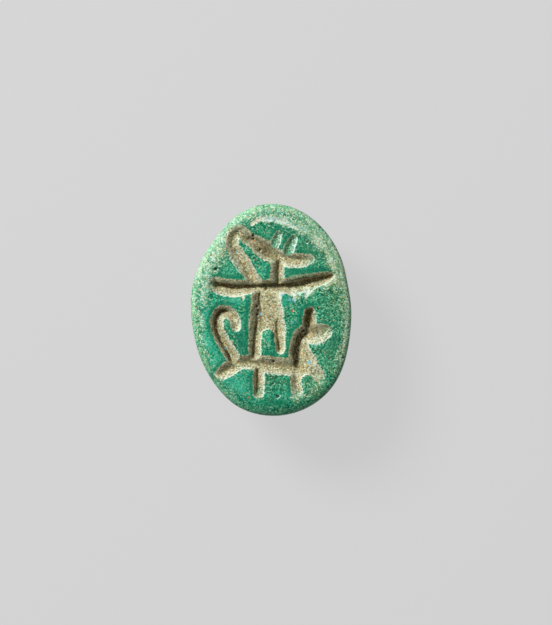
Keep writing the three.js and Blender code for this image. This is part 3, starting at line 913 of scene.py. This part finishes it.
@dataclass
class BeetleBack:
    """The beetle's head, thorax and wing cases, with the small flat that the amulet lies on."""

    outline: Outline
    top: float = 3.7
    share: float = 0.955
    rest_share: float = 0.27
    squareness: float = 2.3
    head_half_width: float = 2.2
    head_line: float = 5.2
    wing_line: float = 1.9
    bay_ceiling: float = 3.35
    shoulder: tuple[float, float] = (4.9, 4.1)
    shoulder_curve: float = 1.6
    lump: float = 0.03
    steepest: float = 6.0
    probe: float = 0.004
    seed: int = 211

    def crown(self, share: Array) -> Array:
        """Height over the crown as a share of the back's: 1 - sqrt(1 - r^n), r the share of the rim."""
        r = np.clip(share / self.share, 0, 1)
        return 1 - np.sqrt(1 - r**self.squareness)

    def height(self, share: Array) -> Array:
        """Height in mm at shares of the outline, with the lying flat ground off at 0."""
        ground = self.crown(np.array(self.rest_share))
        return np.maximum(self.top * (self.crown(share) - ground) / (1 - ground), 0)

    def lines(self) -> list[Stroke]:
        """The incised lines: wing line, head line, doubled suture, shoulder nicks, head teeth."""
        w, h, k = self.wing_line, self.head_line, self.head_half_width
        found = [
            Stroke(((-4.9, 1.3, 0.18), (-2.6, 1.75, 0.2), (0, w, 0.2), (2.6, 1.75, 0.2),
                    (4.9, 1.3, 0.18)), 0.24, 0.2),
            Stroke(((-k, h + 0.25, 0.22), (0, h - 0.15, 0.22), (k, h + 0.25, 0.22)), 0.24, 0.2),
        ]
        for flank in (-1, 1):
            found.append(Stroke(tuple((flank * 0.32, y, 0.15) for y in (1.8, -2, -4.4, -6.7)), 0.22, 0.2))
            found.append(Stroke(((flank * 3.5, 1.45, 0.2), (flank * 3.05, 0.4, 0.12)), 0.24, 0.2))
        for x in (-0.8, 0, 0.8):
            found.append(Stroke(((x, 6.55, 0.14), (x * 1.15, 7.25, 0.22)), 0.24, 0.2))
        return found

    def bays(self, x: Array, y: Array) -> Array:
        """Share by which a point is inside the bays cut beside the head, with 0.1 mm walls."""
        ax = np.abs(x)
        k = self.head_half_width
        cheek = k - (y - self.head_line) * 0.06
        end_x, end_y = self.shoulder
        start_y = self.head_line + 0.2
        t = np.clip((ax - k) / (end_x - k), 0, 1)
        shoulder = start_y - (start_y - end_y) * t**self.shoulder_curve
        return smooth(-0.05, 0.05, ax - cheek) * smooth(-0.05, 0.05, y - shoulder)

    def build(self, u: Array, v: Array) -> Patch:
        """Builds the back, seen from below.

        The disc's radius runs evenly in angle over the dome. Lines sink along the dome's normal, and
        the bays lift the surface to their flat ceiling.

        Args:
            u: Grid positions across, as a 2-D array.
            v: Grid positions along, as a 2-D array.

        Returns:
            The back's points and masks, row by row.
        """
        phase, disc = (a.ravel() for a in unit_disc(u, v))
        angle = self.outline.angle(phase)
        full = self.outline.radius(angle)
        share = self.share * np.sin(disc * math.pi / 2)
        x, y = full * share * np.cos(angle), full * share * np.sin(angle)
        z = self.height(share)
        rise = self.height(share + self.probe) - self.height(share - self.probe)
        slope = np.minimum(rise / (2 * self.probe) / full, self.steepest)
        ragged = 0.12 * layered_noise(x, y, 0.5, self.seed)
        depth, rim = np.zeros_like(x), np.zeros_like(x)
        for stroke in self.lines():
            cut, outside, _ = stroke.measure(x, y, ragged)
            depth = np.maximum(depth, cut)
            rim = np.maximum(rim, bell(outside, 0, 0.1))
        lumps = self.lump * body_noise(x, y, z, 1.8, self.seed + 3) * smooth(0.02, 0.3, z)
        lean = (depth + lumps) * smooth(1.0, 0.97, disc) / np.sqrt(1 + slope * slope)
        z = z + lean
        inward = lean * slope
        x, y = x - inward * np.cos(angle), y - inward * np.sin(angle)
        bay = self.bays(x, y) * smooth(1.0, 0.985, disc)
        z = z + np.clip(self.bay_ceiling - z, 0, None) * bay
        masks = blank_masks(x.size)
        masks["carved"] = smooth(0.02, 0.1, depth)
        masks["silt"] = masks["carved"]
        masks["rim"] = 0.5 * rim * (1 - smooth(0.1, 0.2, depth))
        # Painted shade in the incised lines and in the bays beside the head.
        masks["crease"] = 0.6 * smooth(0.06, 0.18, depth) + 0.4 * bay
        crown = smooth(0.45, 0.15, disc)
        masks["worn"] = np.clip(0.05 + 0.25 * crown + 0.4 * smooth(0.93, 1, disc), 0, 1) * (1 - bay)
        masks["cool"] = np.clip(0.4 + 0.4 * layered_noise(x, y, 3.0, self.seed + 9), 0, 1)
        return Patch(np.column_stack([x, y, z]), masks)


# ---- Shader expressions ----

Number = float | int
Operand = Any


class Socket:
    """A shader value that adds Math nodes when it is used in an expression."""

    def __init__(self, shader: "Shader", output: bpy.types.NodeSocket) -> None:
        """Wraps one output of a node.

        Args:
            shader: The shader that the node is in.
            output: The node's output.
        """
        self.shader = shader
        self.output = output

    def _math(self, operation: str, *values: Operand) -> "Socket":
        """Adds a Math node with this operation on these values."""
        return self.shader.node("ShaderNodeMath", {"operation": operation}, dict(enumerate(values)))

    def __add__(self, other: Operand) -> "Socket":
        """self + other."""
        return self._math("ADD", self, other)

    __radd__ = __add__

    def __sub__(self, other: Operand) -> "Socket":
        """self - other."""
        return self._math("SUBTRACT", self, other)

    def __rsub__(self, other: Operand) -> "Socket":
        """other - self."""
        return self._math("SUBTRACT", other, self)

    def __mul__(self, other: Operand) -> "Socket":
        """self * other."""
        return self._math("MULTIPLY", self, other)

    __rmul__ = __mul__

    def __pow__(self, other: Operand) -> "Socket":
        """self ** other."""
        return self._math("POWER", self, other)

    def most(self, other: Operand) -> "Socket":
        """The larger of self and other."""
        return self._math("MAXIMUM", self, other)

    def step(self, low: Number, high: Number) -> "Socket":
        """0 below low, 1 above high, smooth between; low may be the larger."""
        ends = {1: low, 2: high} if low < high else {1: high, 2: low}
        settings = {"interpolation_type": "SMOOTHSTEP", "data_type": "FLOAT"}
        risen = self.shader.node("ShaderNodeMapRange", settings, {0: self, **ends})
        return risen if low < high else 1.0 - risen


class Shader:
    """A material's node tree, with one Principled shader."""

    def __init__(self, name: str) -> None:
        """Starts a material.

        Args:
            name: The material's name.
        """
        self.material = bpy.data.materials.new(name)
        self.material.use_nodes = True
        self.tree = self.material.node_tree
        self.tree.nodes.clear()
        self.surface = self.tree.nodes.new("ShaderNodeBsdfPrincipled")
        end = self.tree.nodes.new("ShaderNodeOutputMaterial")
        self.tree.links.new(self.surface.outputs[0], end.inputs["Surface"])

    def feed(self, target: bpy.types.NodeSocket, value: Operand) -> None:
        """Links a Socket to a node's input, or sets the input to a plain value."""
        if isinstance(value, Socket):
            self.tree.links.new(value.output, target)
        else:
            target.default_value = value

    def node(
        self, kind: str, settings: dict[str, Any], inputs: dict[Any, Operand], output: Any = 0
    ) -> Socket:
        """Adds a node.

        Args:
            kind: The node's type.
            settings: Its properties, such as a Math node's operation, set first.
            inputs: Values or Sockets by input name or number.
            output: The name or number of the output that is wanted.

        Returns:
            That output.
        """
        made = self.tree.nodes.new(kind)
        for key, value in settings.items():
            setattr(made, key, value)
        for key, value in inputs.items():
            self.feed(made.inputs[key], value)
        return Socket(self, made.outputs[output])

    def mask(self, name: str) -> Socket:
        """One of the piece's own masks."""
        return self.node("ShaderNodeAttribute", {"attribute_name": name}, {}, "Fac")

    def position(self) -> Socket:
        """Object coordinates."""
        return self.node("ShaderNodeTexCoord", {}, {}, "Object")

    def noise(self, size: Number, detail: Number = 2.0, rough: Number = 0.5) -> Socket:
        """Noise in about 0.2..0.8 whose patches are size mm across."""
        inputs = {"Vector": self.position(), "Scale": 1 / (size * MM), "Detail": detail, "Roughness": rough}
        return self.node("ShaderNodeTexNoise", {}, inputs, "Fac")

    def split(self, kind: str, value: Socket) -> tuple[Socket, ...]:
        """The three parts of a colour or a vector, by this kind of Separate node."""
        outputs = self.node(kind, {}, {0: value}).output.node.outputs
        return tuple(Socket(self, part) for part in outputs)

    def grains(self, size: Number) -> tuple[Socket, ...]:
        """Three even random numbers in 0..1 for each grain, size mm across."""
        inputs = {"Vector": self.position(), "Scale": 1 / (size * MM)}
        colour = self.node("ShaderNodeTexVoronoi", {}, inputs, "Color")
        return self.split("ShaderNodeSeparateColor", colour)

    def blend(self, amount: Operand, under: Operand, over: Operand) -> Socket:
        """under where amount is 0, over where it is 1, as colours."""
        inputs = {"Factor": amount, 6: under, 7: over}
        settings = {"data_type": "RGBA", "blend_type": "MIX"}
        return self.node("ShaderNodeMix", settings, inputs, 2)

    def coats(self, base: Operand, *layers: tuple[Operand, Operand]) -> Socket:
        """base under each (amount, colour) layer in turn."""
        for amount, colour in layers:
            base = self.blend(amount, base, colour)
        return base

    def set(self, name: str, value: Operand) -> None:
        """Feeds one input of the Principled shader."""
        self.feed(self.surface.inputs[name], value)


def srgb(red: int, green: int, blue: int) -> Colour:
    """A colour as it looks, 0..255 a channel, as linear light with alpha 1."""
    values = np.array([red, green, blue]) / 255
    linear = np.where(values > 0.04045, ((values + 0.055) / 1.055) ** 2.4, values / 12.92)
    return (*(float(c) for c in linear), 1.0)


# ---- Finishes ----


@dataclass(frozen=True)
class Speckle:
    """Four noises and three random numbers for each grain, as values in 0..1."""

    coarse: Socket
    middle: Socket
    fine: Socket
    dust: Socket
    light: Socket
    hue: Socket
    third: Socket


@dataclass(frozen=True)
class Faience:
    """Blue-green glaze over a pale granular body, with earth left in the cuts, and painted shade and
    highlights on their walls and rims.
    """

    hole_height: float
    mouth_radius: float
    deep: Colour = srgb(0, 104, 77)
    green: Colour = srgb(0, 138, 98)
    bright: Colour = srgb(28, 166, 124)
    teal: Colour = srgb(44, 178, 146)
    olive: Colour = srgb(82, 130, 84)
    night: Colour = srgb(0, 62, 46)
    mint: Colour = srgb(132, 200, 156)
    thin: Colour = srgb(112, 194, 144)
    body: Colour = srgb(180, 186, 158)
    cream: Colour = srgb(212, 216, 188)
    earth: Colour = srgb(160, 155, 114)
    pale_olive: Colour = srgb(168, 184, 138)
    # Painted shade on rims that face away from the light.
    shaded_rim_brown: Colour = srgb(146, 139, 92)
    # Dark earth grains, and painted shade in creases and on walls that face away from the light.
    dark_earth_and_shade: Colour = srgb(76, 63, 36)
    # Near-black brown: painted shade in the darkest creases, and dirt and painted shade in pits.
    near_black_shade_and_dirt: Colour = srgb(44, 28, 14)
    rust: Colour = srgb(170, 104, 50)
    sand: Colour = srgb(204, 158, 100)
    chalk: Colour = srgb(212, 208, 172)
    ice: Colour = srgb(202, 226, 218)
    blue: Colour = srgb(110, 176, 196)
    noise_sizes: tuple[float, ...] = (1.1, 0.42, 0.16, 0.1)
    grain_size: float = 0.085
    relief: float = 0.028
    gloss: float = 0.13

    def glaze(self, sh: Shader, n: Speckle) -> Socket:
        """The glaze: its green, then duller, cooler and thinner places, specks, and dark pools, partly
        painted shade beside rims in the shade.
        """
        cool, pool_and_shade = sh.mask("cool"), sh.mask("pool_and_shade")
        busy = 1.0 - cool.most(pool_and_shade) * 0.62
        thin = sh.blend(n.middle.step(0.4, 0.65) * 0.6, self.thin, self.pale_olive)
        return sh.coats(
            self.deep,
            (n.coarse.step(0.35, 0.65), self.green),
            (n.middle.step(0.45, 0.75) * 0.6, self.bright),
            (sh.mask("dull") * 0.6, self.olive),
            (cool * 0.75, self.teal),
            (sh.mask("thin") * (n.middle * 0.5 + 0.68), thin),
            (n.fine.step(0.54, 0.7) * 0.22 * busy, self.mint),
            (n.third.step(0.35, 0.05) * 0.5, self.olive),
            (n.third.step(0.65, 0.95) * 0.45, self.teal),
            (n.fine.step(0.46, 0.34) * 0.5, self.night),
            (n.light.step(0.62, 0.95) * 0.72 * busy, self.mint),
            (n.light.step(0.4, 0.02) * 0.85 * busy, self.night),
            (n.hue.step(0.965, 0.99) * 0.6 * busy, self.sand),
            # Partly painted shade: darker glaze just outside rims in the shade.
            (pool_and_shade * 0.75, self.deep),
        )

    def weathered_and_lit(self, sh: Shader, n: Speckle, worn: Socket) -> Socket:
        """The glaze with its worn places paler, partly as painted light at the right edge, under chalky
        salt, dark pepper and sandy grains.
        """
        mask = sh.mask("worn")
        salt = (mask * 1.1 + n.light * 1.3 + (n.dust - 0.5) * 0.6).step(1.15, 1.7)
        salt_colour = sh.blend(n.third.step(0.3, 0.7), self.chalk, self.ice)
        pepper = mask.step(0.15, 0.4) * n.hue.step(0.34, 0.24) * (1.0 - sh.mask("thin") * 0.5)
        return sh.coats(
            self.glaze(sh, n),
            # Paler worn glaze; at the right edge partly painted light.
            (worn * 0.7, sh.blend(sh.mask("dull"), self.mint, self.pale_olive)),
            (salt * (mask.step(0.0, 0.3) * 0.55 + 0.1), salt_colour),
            (pepper * 0.6, sh.blend(n.third.step(0.4, 0.6), self.olive, self.deep)),
            (worn * n.hue.step(0.88, 0.94) * 0.5, self.sand),
        )

    def ground(self, sh: Shader, n: Speckle) -> Socket:
        """The cuts: pale body, tan earth, dark earth and painted shade in creases, painted brown shade at
        shaded rims, under mixed grains.
        """
        silt = (sh.mask("silt") + (n.middle - 0.5) * 0.8).step(0.1, 0.9)
        crease = (sh.mask("crease") + (n.middle - 0.5) * 0.3 + (n.light - 0.5) * 0.3).step(0.1, 0.85)
        return sh.coats(
            self.body,
            (silt, self.earth),
            # Painted shade with dark earth: deep creases, and walls that face away from the light.
            (crease * 0.95, self.dark_earth_and_shade),
            # Painted shade: a brown band on rims in the shade.
            (sh.mask("edge") * (n.fine * 0.8 + 0.3), self.shaded_rim_brown),
            (n.fine.step(0.48, 0.34) * 0.55, self.dark_earth_and_shade),
            (n.light.step(0.36, 0.02) * 0.75, self.dark_earth_and_shade),
            (n.light.step(0.6, 0.95) * (0.8 - crease * 0.55), self.cream),
            (n.hue.step(0.86, 0.93) * (0.65 - crease * 0.35), self.sand),
            (n.hue.step(0.12, 0.05) * 0.55, self.olive),
            # Painted shade: the darkest creases go near black.
            (crease.step(0.5, 1.0) * n.light.step(0.5, 0.2) * 0.7, self.near_black_shade_and_dirt),
        )

    def material(self) -> bpy.types.Material:
        """Makes the material.

        Returns:
            A material that reads the piece's masks and its Object coordinates.
        """
        sh = Shader("green_faience")
        n = Speckle(*(sh.noise(size, 3.0) for size in self.noise_sizes), *sh.grains(self.grain_size))
        worn = (sh.mask("worn") + (n.middle - 0.5) * 0.6 + (n.fine - 0.5) * 0.4).step(0.2, 0.9)
        ragged = (n.fine - 0.5) * 0.8 + (n.dust - 0.5) * 0.5
        carved = (sh.mask("carved") + self.hole(sh) + ragged).step(0.3, 0.6)
        carved = carved * (1.0 - sh.mask("glazed") * (n.fine.step(0.3, 0.6) * 0.4 + 0.6))
        rim = (sh.mask("rim") + (n.fine - 0.5) + (n.light - 0.5) * 0.5).step(0.25, 0.85)
        colour = sh.coats(
            self.weathered_and_lit(sh, n, worn),
            (carved, self.ground(sh, n)),
            # Pale rims: worn glaze, and painted highlight on rims and walls that face the light.
            (rim * 0.8, sh.blend(carved, self.ice, self.cream)),
            # Pits and pinholes painted near black: dirt in the holes and painted shade.
            (sh.mask("pit").step(0.25, 0.7) * 0.8, self.near_black_shade_and_dirt),
            (sh.mask("rust").step(0.2, 0.8) * 0.85, self.rust),
            (sh.mask("fleck").step(0.2, 0.8) * 0.75, self.blue),
        )
        sh.set("Base Color", colour)
        sh.set("Specular IOR Level", self.gloss)
        matt = carved.most(rim * 0.8).most(worn * 0.4)
        sh.set("Roughness", matt * 0.38 + (n.fine - 0.5) * 0.3 + 0.42)
        height = (n.fine - 0.5) + (n.dust - 0.5) * 0.8 + (n.middle - 0.5) * 0.8 + n.light * 0.15
        bump = {"Height": height, "Distance": self.relief * MM, "Strength": 1.0}
        sh.set("Normal", sh.node("ShaderNodeBump", {}, bump, "Normal"))
        return sh.material

    def hole(self, sh: Shader) -> Socket:
        """Marks the thread hole and its worn mouths: 1 within their radius of its axis, else 0."""
        x, _, z = sh.split("ShaderNodeSeparateXYZ", sh.position())
        x, z = x * (1 / MM), z * (1 / MM) - self.hole_height
        away = (x * x + z * z) ** 0.5
        return away.step(self.mouth_radius + 0.06, self.mouth_radius - 0.02)


@dataclass(frozen=True)
class PaperFloor:
    """Smooth pale grey paper, evenly lit."""

    grey: float = 0.06
    glow: float = 0.57

    def material(self) -> bpy.types.Material:
        """Makes the material: matt grey, with a soft even light of its own that thins shadows."""
        sh = Shader("pale_floor")
        sh.set("Base Color", (self.grey, self.grey, self.grey, 1.0))
        sh.set("Roughness", 0.9)
        sh.set("Emission Color", (1.0, 1.0, 1.0, 1.0))
        sh.set("Emission Strength", self.glow)
        return sh.material


# ---- The amulet ----


class Rows(Enum):
    """Cells of the body's grids: across the face and back, and along them."""

    ACROSS = 160
    ALONG = 212


@dataclass
class ThreadHole:
    """The hole from the head end to the tail end, and the flat worn round each mouth."""

    radius: float = 0.7
    height: float = 4.65
    mouth_radius: float = 1.0
    mouth_y: float = 6.95
    past: float = 9.0
    sides: int = 72

    def cutter(self) -> bpy.types.Object:
        """Makes the cutter: a stepped profile turned about the hole's axis, closed by end discs."""
        profile = np.array([
            (self.mouth_radius, -self.past), (self.mouth_radius, -self.mouth_y),
            (self.radius, -self.mouth_y), (self.radius, self.mouth_y),
            (self.mouth_radius, self.mouth_y), (self.mouth_radius, self.past),
        ])
        turn = np.linspace(0, 2 * math.pi, self.sides, endpoint=False)
        radius, y = profile[:, 0][:, None], profile[:, 1][:, None]
        ring = np.stack(
            [radius * np.cos(turn), y + 0 * turn, self.height + radius * np.sin(turn)], axis=-1
        )
        ends = np.array([[0, -self.past, self.height], [0, self.past, self.height]])
        points = np.vstack([ring.reshape(-1, 3), ends])
        k = np.arange(self.sides)
        after = (k + 1) % self.sides
        rows = (np.arange(len(profile) - 1) * self.sides)[:, None]
        quads = np.stack(
            [rows + k, rows + self.sides + k, rows + self.sides + after, rows + after], axis=-1
        ).reshape(-1, 4)
        last = (len(profile) - 1) * self.sides
        low, high = len(points) - 2, len(points) - 1
        faces = quads.tolist()
        faces += np.column_stack([np.full_like(k, low), k, after]).tolist()
        faces += np.column_stack([np.full_like(k, high), last + after, last + k]).tolist()
        mesh = bpy.data.meshes.new("thread_hole_cutter")
        mesh.from_pydata((points * MM).tolist(), [], faces)
        return bpy.data.objects.new("thread_hole_cutter", mesh)

    def cut(self, piece: bpy.types.Object) -> None:
        """Cuts the hole through a piece and keeps the result as its mesh."""
        cutter = self.cutter()
        bpy.context.collection.objects.link(cutter)
        modifier = piece.modifiers.new("thread_hole", "BOOLEAN")
        modifier.operation, modifier.solver, modifier.object = "DIFFERENCE", "MANIFOLD", cutter
        shown = piece.evaluated_get(bpy.context.evaluated_depsgraph_get())
        mesh = bpy.data.meshes.new_from_object(shown)
        piece.modifiers.clear()
        piece.data = mesh
        bpy.data.objects.remove(cutter)


@dataclass
class Scarab:
    """The whole amulet as one closed piece."""

    outline: Outline = field(default_factory=Outline)
    crisp_angle: float = 50.0

    def __post_init__(self) -> None:
        """Makes the three stretches of surface and the thread hole."""
        self.base = CarvedBase(self.outline)
        self.waist = LegWaist(self.outline)
        self.back = BeetleBack(self.outline)
        self.hole = ThreadHole()

    def grid(self) -> tuple[Array, Array]:
        """Even grid positions over the square -1..1, as two arrays [along, across]."""
        across = np.linspace(-1, 1, Rows.ACROSS.value + 1)
        along = np.linspace(-1, 1, Rows.ALONG.value + 1)
        return np.meshgrid(across, along)

    def numbers(self) -> Array:
        """Numbers of the grid's points, as an array [along, across]."""
        rows, columns = Rows.ALONG.value + 1, Rows.ACROSS.value + 1
        return np.arange(rows * columns).reshape(rows, columns)

    def border(self) -> Array:
        """Numbers of the grid's border points, counter-clockwise from the low left corner."""
        number = self.numbers()
        sides = [number[0, :-1], number[:-1, -1], number[-1, :0:-1], number[:0:-1, 0]]
        return np.concatenate(sides)

    def quads(self) -> Array:
        """The grid's cells, counter-clockwise."""
        number = self.numbers()
        cells = [number[:-1, :-1], number[:-1, 1:], number[1:, 1:], number[1:, :-1]]
        return np.stack(cells, axis=-1).reshape(-1, 4)

    def surface(self) -> tuple[Array, Array, dict[str, Array]]:
        """Joins the face, the rings and the back on their shared borders.

        Returns:
            Points in mm, four-cornered faces, and masks.
        """
        u, v = self.grid()
        border = self.border()
        phase, _ = unit_disc(u.ravel()[border], v.ravel()[border])
        patches = [self.base.build(u, v), self.waist.build(phase), self.back.build(u, v)]
        sizes = [len(p.points) for p in patches]
        points = np.vstack([p.points for p in patches])
        masks = {name: np.concatenate([p.masks[name] for p in patches]) for name in MASKS}
        rings = sizes[0] + np.arange(sizes[1]).reshape(-1, border.size)
        rings = np.vstack([border, rings, sizes[0] + sizes[1] + border])
        upper, lower = rings[:-1], rings[1:]
        wall = np.stack(
            [upper, lower, np.roll(lower, -1, axis=1), np.roll(upper, -1, axis=1)], axis=-1
        ).reshape(-1, 4)
        under = self.quads()[:, ::-1] + sizes[0] + sizes[1]
        return points, np.vstack([self.quads(), wall, under]), masks

    def build(self) -> bpy.types.Object:
        """Makes the piece.

        Returns:
            The object, at the origin, with its masks as point attributes.
        """
        points, faces, masks = self.surface()
        mesh = bpy.data.meshes.new("scarab_body")
        mesh.vertices.add(len(points))
        mesh.vertices.foreach_set("co", (points * MM).astype(np.float32).ravel())
        mesh.loops.add(faces.size)
        mesh.loops.foreach_set("vertex_index", faces.astype(np.int32).ravel())
        mesh.polygons.add(len(faces))
        mesh.polygons.foreach_set("loop_start", (4 * np.arange(len(faces))).astype(np.int32))
        mesh.update(calc_edges=True)
        for name, values in masks.items():
            layer = mesh.attributes.new(name, "FLOAT", "POINT")
            layer.data.foreach_set("value", values.astype(np.float32))
        piece = bpy.data.objects.new("scarab_body", mesh)
        bpy.context.collection.objects.link(piece)
        self.hole.cut(piece)
        count = len(piece.data.polygons)
        piece.data.polygons.foreach_set("use_smooth", np.ones(count, dtype=bool))
        piece.data.set_sharp_from_angle(angle=math.radians(self.crisp_angle))
        return piece

    def dress(self, piece: bpy.types.Object) -> None:
        """Gives the piece its finish, joins it to the root body and hides the solid it stands for."""
        piece.data.materials.clear()
        piece.data.materials.append(Faience(self.hole.height, self.hole.mouth_radius).material())
        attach(piece, "root")
        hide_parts("scarab")


# ---- The studio ----


@dataclass
class Studio:
    """Plain pale floor, one large soft light at the upper left, soft fill, and the camera."""

    face_height: float = 7.1
    frame_height: float = 47.17
    lens: float = 200.0
    sensor: float = 36.0
    centre: tuple[float, float] = (0.34, -0.23)
    floor_size: float = 900.0
    key_power: float = 1.27
    key_distance: float = 300.0
    key_size: float = 120.0
    key_azimuth: float = 136.0
    key_elevation: float = 42.0
    sky: float = 0.21
    near_clip: float = 0.01
    far_clip: float = 10.0

    def camera(self) -> None:
        """Sets the camera straight above the carved base."""
        data = bpy.data.cameras.new("camera")
        data.lens, data.sensor_width = self.lens, self.sensor
        distance = self.frame_height * self.lens / self.sensor
        data.clip_start, data.clip_end = self.near_clip, self.far_clip
        seen = bpy.data.objects.new("camera", data)
        x, y = self.centre
        seen.location = (x * MM, y * MM, (self.face_height + distance) * MM)
        bpy.context.collection.objects.link(seen)
        bpy.context.scene.camera = seen

    def lights(self) -> None:
        """Sets the key light and the even sky."""
        data = bpy.data.lights.new("key", "AREA")
        data.shape, data.size, data.energy = "DISK", self.key_size * MM, self.key_power
        lamp = bpy.data.objects.new("key", data)
        a, e = math.radians(self.key_azimuth), math.radians(self.key_elevation)
        lamp.location = (
            self.key_distance * math.cos(e) * math.cos(a) * MM,
            self.key_distance * math.cos(e) * math.sin(a) * MM,
            self.key_distance * math.sin(e) * MM,
        )
        lamp.rotation_euler = lamp.location.to_track_quat("Z", "Y").to_euler()
        bpy.context.collection.objects.link(lamp)
        world = bpy.data.worlds.new("sky")
        world.use_nodes = True
        background = world.node_tree.nodes["Background"]
        background.inputs["Color"].default_value = (1.0, 1.0, 1.0, 1.0)
        background.inputs["Strength"].default_value = self.sky
        bpy.context.scene.world = world

    def floor(self) -> None:
        """Lays the floor that the amulet lies on."""
        half = self.floor_size / 2 * MM
        mesh = bpy.data.meshes.new("floor")
        corners = [(-half, -half, 0), (half, -half, 0), (half, half, 0), (-half, half, 0)]
        mesh.from_pydata(corners, [], [(0, 1, 2, 3)])
        floor = bpy.data.objects.new("floor", mesh)
        bpy.context.collection.objects.link(floor)
        mesh.materials.append(PaperFloor().material())


def corners(box: tuple) -> list[list[float]]:
    """A box's two corners as plain lists of numbers."""
    return [[float(c) for c in corner] for corner in box]


def main() -> None:
    """Builds the studio and the amulet."""
    logging.basicConfig(level=logging.INFO, format="%(message)s")
    bpy.context.scene.view_settings.view_transform = "Standard"
    studio = Studio()
    studio.camera()
    studio.lights()
    studio.floor()
    scarab = Scarab()
    piece = scarab.build()
    scarab.dress(piece)
    LOG.info("scarab_body: %d faces", len(piece.data.polygons))


if __name__ == "__main__":
    main()
